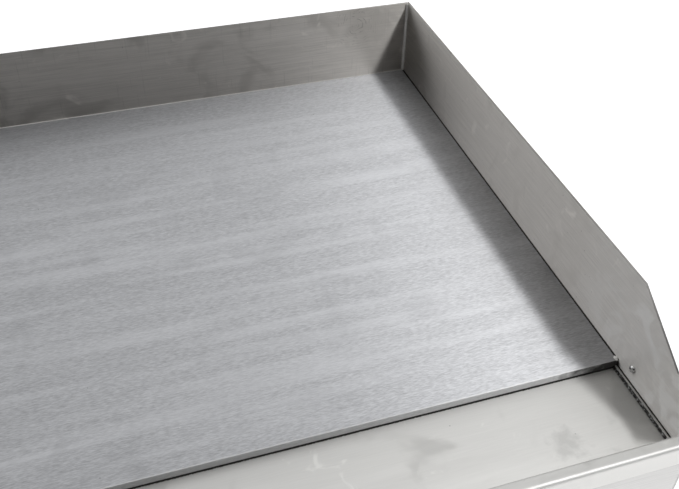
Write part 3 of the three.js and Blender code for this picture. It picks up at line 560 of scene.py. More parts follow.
def splash_steel(along):
    name = "splash_steel_across" if along[0] else "splash_steel_deep"
    return brushed_steel(name, colours().splash, along=along, roughness=SPLASH_ROUGHNESS,
                         anisotropy=SPLASH_STRETCH, dashes=0.1, streaks=0.12, wipes=0.6, specks=0.05,
                         depth=0.00001, dash=(0.03, 0.0006), streak=(0.12, 0.004),
                         residue_and_seam_shade=None if along[0] else wall_residue_and_shade,
                         tone=grinding_swirls if along[0] else None,
                         smudge_and_painted_highlight=None if along[0] else wall_smudges_and_painted_light)


def trough_steel():
    return brushed_steel("satin_trough_steel", colours().trough, roughness=0.58, anisotropy=0.6, dashes=0.02,
                         streaks=0.03, wipes=0.45, specks=0.006, depth=0.000004, dash=(0.02, 0.0009),
                         hammer=0.3, residue_and_seam_shade=trough_residue_and_shade, tone=lip_tone, smudge_and_painted_highlight=lip_painted_highlight)


def drawer_steel():
    return brushed_steel("satin_drawer_steel", colours().trough, roughness=0.45, anisotropy=0.4, dashes=0.06,
                         streaks=0.08, wipes=0.3, depth=0.000006, dash=(0.04, 0.0009))


def casing_steel(along):
    name = "casing_steel_across" if along[0] else "casing_steel_deep"
    return brushed_steel(name, colours().casing, along=along, roughness=0.36, anisotropy=0.6, dashes=0.14,
                         streaks=0.12, wipes=0.25, depth=0.00001, dash=(0.05, 0.0005))


def zinc_steel():
    return dull_metal("zinc_plate", (0.52, 0.54, 0.55), 0.45)


# ---------------------------------------------------------------- mesh helpers

def new_object(name, mesh):
    obj = bpy.data.objects.new(name, mesh)
    bpy.context.scene.collection.objects.link(obj)
    return obj


def object_from(name, bm):
    mesh = bpy.data.meshes.new(name)
    bm.to_mesh(mesh)
    bm.free()
    return new_object(name, mesh)


def apply_modifiers(obj):
    """Turns the evaluated result into the object's plain mesh and drops the modifiers."""
    depsgraph = bpy.context.evaluated_depsgraph_get()
    mesh = bpy.data.meshes.new_from_object(obj.evaluated_get(depsgraph), preserve_all_data_layers=True,
                                           depsgraph=depsgraph)
    obj.modifiers.clear()
    obj.data = mesh
    return obj


def smooth(obj, angle=35.0):
    obj.data.shade_smooth()
    obj.data.set_sharp_from_angle(angle=math.radians(angle))


def soften_edges(obj, width, segments=2, angle=30.0):
    """Rounds every edge sharper than the angle and applies it."""
    bevel = obj.modifiers.new("Edges", "BEVEL")
    bevel.width = width
    bevel.segments = segments
    bevel.limit_method = "ANGLE"
    bevel.angle_limit = math.radians(angle)
    bevel.use_clamp_overlap = True
    bevel.harden_normals = False
    apply_modifiers(obj)
    smooth(obj, 50.0)
    obj.modifiers.new("Normals", "WEIGHTED_NORMAL").keep_sharp = True
    apply_modifiers(obj)


def brush_uv(obj, along):
    """UV map whose U runs across the brushing on every face, so that highlights stretch across it."""
    mesh = obj.data
    layer = mesh.uv_layers.get("Brush") or mesh.uv_layers.new(name="Brush")
    grain = Vector(along)
    spare = Vector((0.0, 0.0, 1.0)) if abs(grain.z) < 0.5 else Vector((1.0, 0.0, 0.0))
    for polygon in mesh.polygons:
        across = polygon.normal.cross(grain)
        if across.length < 0.05:
            across = spare
        across = across.normalized()
        lengthwise = across.cross(polygon.normal)
        for loop in polygon.loop_indices:
            place = mesh.vertices[mesh.loops[loop].vertex_index].co
            layer.data[loop].uv = (place.dot(across), place.dot(lengthwise))


def clean_copy(node, name):
    """A merged copy of a node's mesh, with its flat faces made whole."""
    bm = bmesh.new()
    bm.from_mesh(frame["nodes"][node].data)
    bmesh.ops.remove_doubles(bm, verts=bm.verts, dist=0.002 * MM)
    bmesh.ops.dissolve_limit(bm, angle_limit=math.radians(0.5), verts=bm.verts, edges=bm.edges)
    mesh = bpy.data.meshes.new(name)
    bm.to_mesh(mesh)
    bm.free()
    if "custom_normal" in mesh.attributes:
        mesh.attributes.remove(mesh.attributes["custom_normal"])
    return new_object(name, mesh)


def mark_cut_edges(obj, thin):
    """Marks the faces on a sheet's rim: those that do not face along its thin axis."""
    axis = Vector(thin)
    values = [0.0 if abs(polygon.normal.dot(axis)) > 0.6 else 1.0 for polygon in obj.data.polygons]
    obj.data.attributes.new("cut_edge", "FLOAT", "FACE").data.foreach_set("value", values)


def finish_piece(obj, body, material, replaced=(), along=None):
    obj.data.materials.clear()
    obj.data.materials.append(material)
    if along is not None:
        brush_uv(obj, along)
    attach(obj, body)
    if replaced:
        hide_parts(*replaced)
    return obj


def softened(node, name, material, width, body="casing", along=ACROSS, segments=2):
    """A node's own shape with rounded edges, standing for the node."""
    obj = clean_copy(node, name)
    soften_edges(obj, width, segments)
    return finish_piece(obj, body, material, (node,), along)


def fillet(points, radius, steps=6):
    """Rounds the inner corners of an open path; radius is one value or one for each corner."""
    points = [Vector(p) for p in points]
    result = [points[0]]
    for i in range(1, len(points) - 1):
        r = radius[i - 1] if isinstance(radius, (list, tuple)) else radius
        before, corner, after = points[i - 1], points[i], points[i + 1]
        u, v = (before - corner).normalized(), (after - corner).normalized()
        angle = u.angle(v)
        if r <= 0 or angle > math.pi - 0.01:
            result.append(corner)
            continue
        reach = r / math.tan(angle / 2)
        centre = corner + (u + v).normalized() * (r / math.sin(angle / 2))
        start, end = corner + u * reach - centre, corner + v * reach - centre
        sweep = start.angle(end)
        for k in range(steps + 1):
            t = k / steps
            a, b = math.sin((1 - t) * sweep), math.sin(t * sweep)
            result.append(centre + (start * a + end * b) / math.sin(sweep))
    result.append(points[-1])
    return result


def folded_outline(path, thickness):
    """Closed outline of a sheet whose one face follows a 2D path and whose other face lies to its left."""
    left = []
    for i, point in enumerate(path):
        before = path[max(i - 1, 0)]
        after = path[min(i + 1, len(path) - 1)]
        direction = (after - before).normalized()
        left.append(point + Vector((-direction.y, direction.x)) * thickness)
    return list(path) + left[::-1]


def extrude_outline(outline, axes, low, high):
    """A closed solid from a 2D outline; axes are the outline's two directions and the length's."""
    first, second, third = (Vector(a) for a in axes)
    bm = bmesh.new()
    rings = [[bm.verts.new(first * p[0] + second * p[1] + third * end) for p in outline]
             for end in (low, high)]
    count = len(outline)
    for i in range(count):
        j = (i + 1) % count
        bm.faces.new((rings[0][i], rings[0][j], rings[1][j], rings[1][i]))
    bm.faces.new(rings[0][::-1])
    bm.faces.new(rings[1])
    bmesh.ops.recalc_face_normals(bm, faces=bm.faces)
    return bm


def revolve(profile, facets):
    """A solid turned about +Z from radius and height pairs; a ring's profile repeats its first point."""
    bm = bmesh.new()
    closed = Vector(profile[0]) == Vector(profile[-1]) and profile[0][0] > 0
    rows = []
    for radius, height in (profile[:-1] if closed else profile):
        if radius < 1e-9:
            rows.append([bm.verts.new((0.0, 0.0, height))])
        else:
            rows.append([bm.verts.new((radius * math.cos(a), radius * math.sin(a), height))
                         for a in (2 * math.pi * k / facets for k in range(facets))])
    pairs = list(zip(rows, rows[1:]))
    if closed:
        pairs.append((rows[-1], rows[0]))
    for lower, upper in pairs:
        for k in range(facets):
            m = (k + 1) % facets
            if len(lower) == 1 and len(upper) > 1:
                bm.faces.new((lower[0], upper[k], upper[m]))
            elif len(upper) == 1 and len(lower) > 1:
                bm.faces.new((lower[k], lower[m], upper[0]))
            elif len(lower) > 1:
                bm.faces.new((lower[k], lower[m], upper[m], upper[k]))
    bmesh.ops.recalc_face_normals(bm, faces=bm.faces)
    return bm


FORWARD = Matrix.Rotation(math.radians(90), 4, "X")  # turns +Z to -Y, towards the cook
REARWARD = Matrix.Rotation(math.radians(-90), 4, "X")


def in_mm(profile):
    """Pairs of millimetres as metres."""
    return [(p[0] * MM, p[1] * MM) for p in profile]


def centre_of(node):
    low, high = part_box(node)
    return (low + high) / 2


def turned(name, profile, turn, place, facets=None, corner=0.0):
    """A turned piece: profile in metres, corners rounded, then turned and set in place."""
    if corner:
        profile = fillet(profile, corner, 3)
    bm = revolve([tuple(p) for p in profile], facets or sizes().facets)
    bm.transform(Matrix.Translation(place) @ turn)
    obj = object_from(name, bm)
    smooth(obj, 40.0)
    return obj


def sweep(name, points, radius, sides=24):
    """A round bar along a path. radius is one value, or a function of the share of the way along."""
    points = [Vector(p) for p in points]
    bm = bmesh.new()
    rings = []
    side = None
    for i, point in enumerate(points):
        direction = (points[min(i + 1, len(points) - 1)] - points[max(i - 1, 0)]).normalized()
        if side is None:
            side = direction.orthogonal().normalized()
        side = (side - direction * side.dot(direction)).normalized()
        other = direction.cross(side)
        r = radius(i / (len(points) - 1)) if callable(radius) else radius
        rings.append([bm.verts.new(point + (side * math.cos(a) + other * math.sin(a)) * r)
                      for a in (2 * math.pi * k / sides for k in range(sides))])
    for lower, upper in zip(rings, rings[1:]):
        for k in range(sides):
            m = (k + 1) % sides
            bm.faces.new((lower[k], lower[m], upper[m], upper[k]))
    bm.faces.new(rings[0][::-1])
    bm.faces.new(rings[-1])
    bmesh.ops.recalc_face_normals(bm, faces=bm.faces)
    obj = object_from(name, bm)
    smooth(obj, 50.0)
    return obj


def boolean(obj, other, operation):
    """Joins or cuts with another object, which is then removed."""
    modifier = obj.modifiers.new("Boolean", "BOOLEAN")
    modifier.operation = operation
    modifier.object = other
    modifier.solver = "EXACT"
    apply_modifiers(obj)
    bpy.data.objects.remove(other)
    return obj


def box_object(name, low, high):
    bm = bmesh.new()
    bmesh.ops.create_cube(bm, size=1.0)
    size = Vector(high) - Vector(low)
    bm.transform(Matrix.Translation((Vector(low) + Vector(high)) / 2) @ Matrix.Diagonal((*size, 1.0)))
    return object_from(name, bm)


# ---------------------------------------------------------------- operators: one for each group of pieces

class GRIDDLE_OT_cooking_plate(Operator):
    """Ground steel plate with softened edges"""
    bl_idname = "griddle.cooking_plate"
    bl_label = "Cooking Plate"

    def execute(self, context):
        softened("griddle_plate", "cooking_plate", plate_steel(), sizes().plate_edge,
                 segments=3)
        return {"FINISHED"}


class GRIDDLE_OT_splash_guard(Operator):
    """Splash guard sheets, corner welds, tacks and rivets"""
    bl_idname = "griddle.splash_guard"
    bl_label = "Splash Guard"

    def execute(self, context):
        edge = sizes().edge
        back = softened("back_splash", "back_splash_sheet", splash_steel(ACROSS), edge)
        mark_cut_edges(back, DEEP)
        for side in ("left", "right"):
            sheet = softened(f"{side}_splash", f"{side}_splash_sheet", splash_steel(DEEP),
                             edge, along=DEEP)
            mark_cut_edges(sheet, ACROSS)
        for sign, side in ((-1, "left"), (1, "right")):
            self.corner_weld(sign, side)
            self.tack_weld(sign, side)
            self.rivet(sign, side)
        steps = 60
        reach = 0.995
        foot = [(WALL_INNER * share, REAR - 0.1 * MM, PLATE_TOP + 0.05 * MM)
                for share in (k / steps * 2 * reach - reach for k in range(steps + 1))]
        seam = sweep("rear_foot_weld", foot, 0.5 * MM, sides=12)
        finish_piece(seam, "casing", weld_painted_highlight())
        return {"FINISHED"}

    def corner_weld(self, sign, side):
        """Rippled fillet bead up the inside corner, finished off at the top."""
        half = sizes().weld
        ripple = 2.2 * MM
        low, high = PLATE_TOP - 1 * MM, BACK_HIGH.z - 0.3 * MM
        count = 150
        rng = random.Random(11 if sign > 0 else 12)
        points = []
        for i in range(count + 1):
            z = low + (high - low) * i / count
            wander = 0.08 * MM * math.sin(z * 300) + rng.uniform(-0.02, 0.02) * MM
            points.append((sign * (WALL_INNER - 0.3 * half) + wander, REAR - 0.3 * half, z))

        def radius(share):
            height = share * (high - low)
            scallop = abs(math.sin(math.pi * height / ripple))
            ends = min(1.0, 0.35 + share * 30, 0.35 + (1 - share) * 30)
            return half * (0.84 + 0.12 * scallop) * ends

        bead = sweep(f"{side}_corner_weld", points, radius, sides=16)
        finish_piece(bead, "casing", weld_painted_highlight())

    def tack_weld(self, sign, side):
        """Short weld between the plate's front corner and the side sheet."""
        bm = bmesh.new()
        bmesh.ops.create_icosphere(bm, subdivisions=4, radius=1.0)
        rng = random.Random(5 if sign > 0 else 6)
        phase = rng.uniform(0, 6)
        for v in bm.verts:
            ripple = 1 + 0.08 * math.sin(9 * v.co.y + phase) + 0.05 * math.sin(7 * v.co.x + 4 * v.co.z)
            v.co = Vector((v.co.x * 1.4 * MM, v.co.y * 2.2 * MM, v.co.z * 1.2 * MM)) * ripple
        bm.transform(Matrix.Translation((sign * (WALL_INNER - 0.9 * MM), PLATE_FRONT + 2.0 * MM, PLATE_TOP)))
        tack = object_from(f"{side}_tack_weld", bm)
        smooth(tack, 60)
        finish_piece(tack, "casing", weld_painted_highlight())

    def rivet(self, sign, side):
        low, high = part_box(f"{side}_splash_rivet")
        centre = (low + high) / 2
        outer = high.x if sign > 0 else low.x
        profile = [(0, 0), (1.5, 0), (1.5, 1.8), (2.6, 1.8), (2.5, 2.4), (1.9, 3.0), (1.0, 3.28), (0, 3.3)]
        turn = Matrix.Rotation(math.radians(-90 * sign), 4, "Y")
        piece = turned(f"{side}_rivet", in_mm(profile), turn,
                       Vector((outer, centre.y, centre.z)), facets=32)
        finish_piece(piece, "casing", polished_metal(), (f"{side}_splash_rivet",))


# Painted highlight: the welds get a near-white, barely metallic colour in place of the glint of polished bead
# metal.
def weld_painted_highlight():
    return dull_metal("weld_bead_metal", (0.95, 0.93, 0.89), 0.3, mottle=0.004, metallic=0.1)


def polished_metal():
    return dull_metal("polished_steel", (0.72, 0.72, 0.71), 0.16, mottle=0.01)


class GRIDDLE_OT_front_trough(Operator):
    """Folded grease trough with lip, apron, upturned ends and drain spout"""
    bl_idname = "griddle.front_trough"
    bl_label = "Front Trough"

    def execute(self, context):
        bend = sizes().bend
        ledge_end = TROUGH_HIGH.y
        half = WALL_INNER - 1.1 * MM
        upstand = WALL_LOW.y - 0.3 * MM
        apron = TROUGH_LOW.y
        top = TROUGH_HIGH.z
        pan_path = fillet([(ledge_end, TROUGH_FLOOR), (upstand, TROUGH_FLOOR), (upstand, top - bend)],
                          [bend - 0.7 * MM], 5)
        lip_path = fillet([(upstand, top - 3 * MM), (upstand, top), (apron, top), (apron, TROUGH_LOW.z)],
                          [bend - 0.6 * MM, bend], 7)
        pan = self.fold("trough_pan", pan_path, half)
        lip = self.fold("trough_lip", lip_path, -CAD_BOX[0][0])
        boolean(pan, lip, "UNION")
        for sign in (-1, 1):
            x = sorted((sign * half, sign * (half - SHEET)))
            end = box_object("trough_end", (x[0], upstand - SHEET, TROUGH_FLOOR - SHEET),
                             (x[1], PLATE_FRONT - 0.3 * MM, TROUGH_FLOOR + 2.5 * MM))
            boolean(pan, end, "UNION")
        drain_centre = (SPOUT_LOW + SPOUT_HIGH) / 2
        drill = turned("drain_drill", [(0, -0.02), (14 * MM, -0.02), (14 * MM, 0.02), (0, 0.02)], Matrix(),
                       Vector((0, drain_centre.y, TROUGH_FLOOR)), facets=72)
        boolean(pan, drill, "DIFFERENCE")
        pan.name = "grease_trough"
        soften_edges(pan, 0.2 * MM, 2, 40.0)
        finish_piece(pan, "casing", trough_steel(), ("front_trough",), ACROSS)
        self.spout(drain_centre)
        return {"FINISHED"}

    def fold(self, name, path, half):
        outline = folded_outline(path, SHEET)
        return object_from(name, extrude_outline(outline, (DEEP, UP, ACROSS), -half, half))

    def spout(self, centre):
        low, high = SPOUT_LOW.z, SPOUT_HIGH.z
        mouth, tube = 14 * MM, 16 * MM
        collar = (SPOUT_HIGH.x - SPOUT_LOW.x) / 2
        profile = [(mouth, low), (tube, low), (tube, high - SHEET), (collar, high - SHEET), (collar, high),
                   (mouth, high), (mouth, low)]
        piece = turned("drain_spout_tube", profile, Matrix(), Vector((0, centre.y, 0)), facets=72)
        finish_piece(piece, "casing", drawer_steel(), ("drain_spout",), UP)


class GRIDDLE_OT_casing(Operator):
    """Casing sheets, rails, runners and vent louvers"""
    bl_idname = "griddle.casing"
    bl_label = "Casing"

    def execute(self, context):
        edge = sizes().edge
        softened("control_panel", "control_panel_sheet", casing_steel(ACROSS), edge)
        softened("rear_panel", "rear_panel_sheet", casing_steel(ACROSS), edge)
        for side in ("left", "right"):
            softened(f"{side}_side_panel", f"{side}_side_sheet", casing_steel(DEEP), edge,
                     along=DEEP)
        softened("base_pan", "base_pan_sheet", zinc_steel(), edge)
        for node in ("left_plate_rail", "right_plate_rail", "rear_plate_rail", "left_drawer_runner",
                     "right_drawer_runner"):
            softened(node, f"{node}_angle", zinc_steel(), edge)
        louvers = slot_places()
        hood = instanced("vent_louvers", louvers, louver_tree(), {
            "Rise": sizes().louver_rise, "Height": 7.5 * MM, "Sheet": 0.9 * MM})
        smooth(hood, 45.0)
        finish_piece(hood, "casing", casing_steel(ACROSS), along=ACROSS)
        return {"FINISHED"}


def slot_places():
    """Vent slot centres on the sides and the rear, each with its outward direction and length."""
    places = []
    rows = [(row - 2) * 13 * MM for row in range(5)]
    side_y = REAR - 200 * MM
    for sign in (-1, 1):
        for column in (-1, 0, 1):
            for rise in rows:
                centre = Vector((sign * SIDE_HIGH.x, side_y + column * 90 * MM, 104 * MM + rise))
                places.append((centre, Vector((sign, 0, 0)), 66 * MM))
    for column in range(-2, 3):
        for rise in rows:
            centre = Vector((-40 * MM + column * 96 * MM, REAR_HIGH.y, 104 * MM + rise))
            places.append((centre, Vector((0, 1, 0)), 70 * MM))
    return places


def instanced(name, places, tree, values):
    """Runs a geometry tree over points that carry their facing and length, and returns the plain result."""
    mesh = bpy.data.meshes.new(name)
    mesh.from_pydata([place for place, _, _ in places], [], [])
    directions = [part for _, direction, _ in places for part in direction]
    mesh.attributes.new("facing", "FLOAT_VECTOR", "POINT").data.foreach_set("vector", directions)
    reaches = [reach for _, _, reach in places]
    mesh.attributes.new("reach", "FLOAT", "POINT").data.foreach_set("value", reaches)
    obj = new_object(name, mesh)
    modifier = obj.modifiers.new("Build", "NODES")
    modifier.node_group = tree
    for item in tree.interface.items_tree:
        if item.item_type == "SOCKET" and item.in_out == "INPUT" and item.name in values:
            modifier[item.identifier] = values[item.name]
    apply_modifiers(obj)
    return obj


def geometry_tree(name, inputs):
    tree = bpy.data.node_groups.new(name, "GeometryNodeTree")
    tree.interface.new_socket("Geometry", in_out="INPUT", socket_type="NodeSocketGeometry")
    tree.interface.new_socket("Geometry", in_out="OUTPUT", socket_type="NodeSocketGeometry")
    for label, kind, default in inputs:
        tree.interface.new_socket(label, in_out="INPUT", socket_type=kind).default_value = default
    return tree, tree.nodes.new("NodeGroupInput"), tree.nodes.new("NodeGroupOutput")


def facing_rotation(tree):
    """Rotation that turns local +Z to the point's facing and keeps local +Y upright."""
    facing = add_node(tree, "GeometryNodeInputNamedAttribute", {"Name": "facing"}, data_type="FLOAT_VECTOR")
    aimed = add_node(tree, "FunctionNodeAlignRotationToVector", {"Vector": facing.outputs[0]}, axis="Z")
    upright = add_node(tree, "FunctionNodeAlignRotationToVector",
                       {"Rotation": aimed.outputs[0], "Vector": (0.0, 0.0, 1.0)}, axis="Y", pivot_axis="Z")
    return upright.outputs[0]


def louver_tree():
    """Pressed louver hood: a curved sheet over the slot, closed at its ends and open below."""
    tree, given, result = geometry_tree("Louvers", [("Rise", FLOAT, 0.003), ("Height", FLOAT, 0.008),
                                                    ("Sheet", FLOAT, 0.001)])
    grid = add_node(tree, "GeometryNodeMeshGrid", {"Size X": 1.0, "Size Y": 1.0, "Vertices X": 25,
                                                   "Vertices Y": 9})
    position = tree.nodes.new("GeometryNodeInputPosition").outputs[0]
    place = add_node(tree, "ShaderNodeSeparateXYZ", {0: position})
    across = math_node(tree, "ADD", place.outputs["Y"], 0.5)
    from_end = math_node(tree, "SUBTRACT", 0.5, math_node(tree, "ABSOLUTE", place.outputs["X"]))
    end_share = add_node(tree, "ShaderNodeMapRange", {"Value": from_end, "From Min": 0.0, "From Max": 0.09})
    end_curve = math_node(tree, "SINE", times(tree, end_share.outputs[0], math.pi / 2))
    arch = math_node(tree, "COSINE", times(tree, across, math.pi / 2))
    out = times(tree, times(tree, arch, end_curve), given.outputs["Rise"])
    climb = math_node(tree, "SUBTRACT", times(tree, across, given.outputs["Height"]), 0.002)
    moved = add_node(tree, "ShaderNodeCombineXYZ", {"X": place.outputs["X"], "Y": climb, "Z": out})
    shaped = add_node(tree, "GeometryNodeSetPosition", {"Geometry": grid.outputs["Mesh"],
                                                        "Position": moved.outputs[0]})
    thick = add_node(tree, "GeometryNodeExtrudeMesh", {"Mesh": shaped.outputs[0], "Offset": (0.0, 0.0, 1.0),
                                                       "Offset Scale": given.outputs["Sheet"],
                                                       "Individual": False})
    under = add_node(tree, "GeometryNodeFlipFaces", {"Mesh": shaped.outputs[0]})
    shell = tree.nodes.new("GeometryNodeJoinGeometry")
    tree.links.new(thick.outputs["Mesh"], shell.inputs[0])
    tree.links.new(under.outputs[0], shell.inputs[0])
    closed = add_node(tree, "GeometryNodeMergeByDistance", {"Geometry": shell.outputs[0],
                                                            "Distance": 0.00001})
    reach = add_node(tree, "GeometryNodeInputNamedAttribute", {"Name": "reach"}, data_type="FLOAT")
    scale = add_node(tree, "ShaderNodeCombineXYZ", {"X": reach.outputs[0], "Y": 1.0, "Z": 1.0})
    spread = add_node(tree, "GeometryNodeInstanceOnPoints", {
        "Points": given.outputs["Geometry"], "Instance": closed.outputs[0],
        "Rotation": facing_rotation(tree), "Scale": scale.outputs[0]})
    realized = add_node(tree, "GeometryNodeRealizeInstances", {"Geometry": spread.outputs[0]})
    finished = add_node(tree, "GeometryNodeSetMaterial", {"Geometry": realized.outputs[0],
                                                          "Material": casing_steel(ACROSS)})
    tree.links.new(finished.outputs[0], result.inputs[0])
    return tree


def screw_tree():
    """Pan head screw with a crossed recess, spun at random about its own axis."""
    tree, given, result = geometry_tree("Screws", [("Head radius", FLOAT, 0.0036), ("Recess", FLOAT, 0.0006),
                                                   ("Seed", "NodeSocketInt", 3)])
    ball = add_node(tree, "GeometryNodeMeshUVSphere", {"Segments": 32, "Rings": 16,
                                                       "Radius": given.outputs["Head radius"]})
    dome = add_node(tree, "GeometryNodeTransform", {"Geometry": ball.outputs["Mesh"],
                                                    "Scale": (1.0, 1.0, 0.55)})
    length = times(tree, given.outputs["Head radius"], 1.15)
    depth = times(tree, given.outputs["Head radius"], 0.7)
    lift = times(tree, given.outputs["Head radius"], 0.62)
    head = add_node(tree, "GeometryNodeMeshBoolean", {"Mesh 1": dome.outputs[0], "Self Intersection": True},
                    operation="DIFFERENCE", solver="EXACT")
    for first, second in ((length, given.outputs["Recess"]), (given.outputs["Recess"], length)):
        size = add_node(tree, "ShaderNodeCombineXYZ", {"X": first, "Y": second, "Z": depth})
        bar = add_node(tree, "GeometryNodeMeshCube", {"Size": size.outputs[0]})
        raised = add_node(tree, "GeometryNodeTransform", {
            "Geometry": bar.outputs["Mesh"],
            "Translation": add_node(tree, "ShaderNodeCombineXYZ", {"Z": lift}).outputs[0]})
        tree.links.new(raised.outputs[0], head.inputs[1])
    spin = add_node(tree, "FunctionNodeRandomValue", {"Seed": given.outputs["Seed"]}, data_type="FLOAT")
    spin.inputs[3].default_value = math.pi
    twist = add_node(tree, "FunctionNodeAxisAngleToRotation", {"Axis": (0.0, 0.0, 1.0),
                                                               "Angle": spin.outputs[1]})
    turn = add_node(tree, "FunctionNodeRotateRotation",
                    {"Rotation": facing_rotation(tree), "Rotate By": twist.outputs[0]},
                    rotation_space="LOCAL")
    spread = add_node(tree, "GeometryNodeInstanceOnPoints", {
        "Points": given.outputs["Geometry"], "Instance": head.outputs[0], "Rotation": turn.outputs[0]})
    realized = add_node(tree, "GeometryNodeRealizeInstances", {"Geometry": spread.outputs[0]})
    finished = add_node(tree, "GeometryNodeSetMaterial", {"Geometry": realized.outputs[0],
                                                          "Material": polished_metal()})
    tree.links.new(finished.outputs[0], result.inputs[0])
    return tree


class GRIDDLE_OT_fasteners(Operator):
    """Screws of the casing and the feet"""
    bl_idname = "griddle.fasteners"
    bl_label = "Fasteners"

    def execute(self, context):
        places = []
        inset = 12 * MM
        panel_x = PANEL_HIGH.x - inset
        foot_line = SIDE_LOW.z + 9 * MM
        rear, front, down = Vector((0, 1, 0)), Vector((0, -1, 0)), Vector((0, 0, -1))
        for sign in (-1, 1):
            outward = Vector((sign, 0, 0))
            for z in (foot_line, TROUGH_LOW.z - 9 * MM):
                places.append((Vector((sign * panel_x, REAR_HIGH.y, z)), rear, 1.0))
            places.append((Vector((sign * panel_x, PANEL_FACE, foot_line)), front, 1.0))
            for y in (PANEL_FACE + inset, 0.0, REAR_HIGH.y - inset):
                places.append((Vector((sign * SIDE_HIGH.x, y, foot_line)), outward, 1.0))
        for name in ("front_left", "front_right", "rear_left", "rear_right"):
            centre = centre_of(f"{name}_foot")
            places.append((Vector((centre.x, centre.y, 14 * MM)), down, 1.0))
        heads = instanced("casing_screws", places, screw_tree(), {"Head radius": sizes().screw_head,
                                                                  "Recess": 1.1 * MM, "Seed": 3})
        smooth(heads, 40.0)
        finish_piece(heads, "casing", polished_metal())
        return {"FINISHED"}


class GRIDDLE_OT_drawer(Operator):
    """Grease drawer: tray, front and bar handle"""
    bl_idname = "griddle.drawer"
    bl_label = "Grease Drawer"

    def execute(self, context):
        softened("drawer_tray", "grease_drawer_tray", drawer_steel(), sizes().edge,
                 body="drawer")
        softened("drawer_front", "grease_drawer_front", casing_steel(ACROSS), 0.5 * MM,
                 body="drawer", segments=3)
        low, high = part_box("drawer_handle")
        radius = (high.z - low.z) / 2
        z = (high.z + low.z) / 2
        half = high.x - radius
        bar = low.y + radius
        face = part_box("drawer_front")[0].y
        path = fillet([(-half, face, z), (-half, bar, z), (half, bar, z), (half, face, z)], 9 * MM, 10)
        handle = sweep("grease_drawer_handle", path, radius, sides=32)
        finish_piece(handle, "drawer", satin_bar(), ("drawer_handle",))
        for sign, side in ((-1, "left"), (1, "right")):
            profile = [(0, 0), (radius + 2 * MM, 0), (radius + 2 * MM, 1 * MM), (radius, 2 * MM), (0, 2 * MM)]
            collar = turned(f"handle_collar_{side}", profile, FORWARD, Vector((sign * half, face, z)),
                            facets=40)
            finish_piece(collar, "drawer", satin_bar())
        return {"FINISHED"}


def satin_bar():
    return dull_metal("satin_bar_steel", (0.64, 0.635, 0.625), 0.24, mottle=0.02)


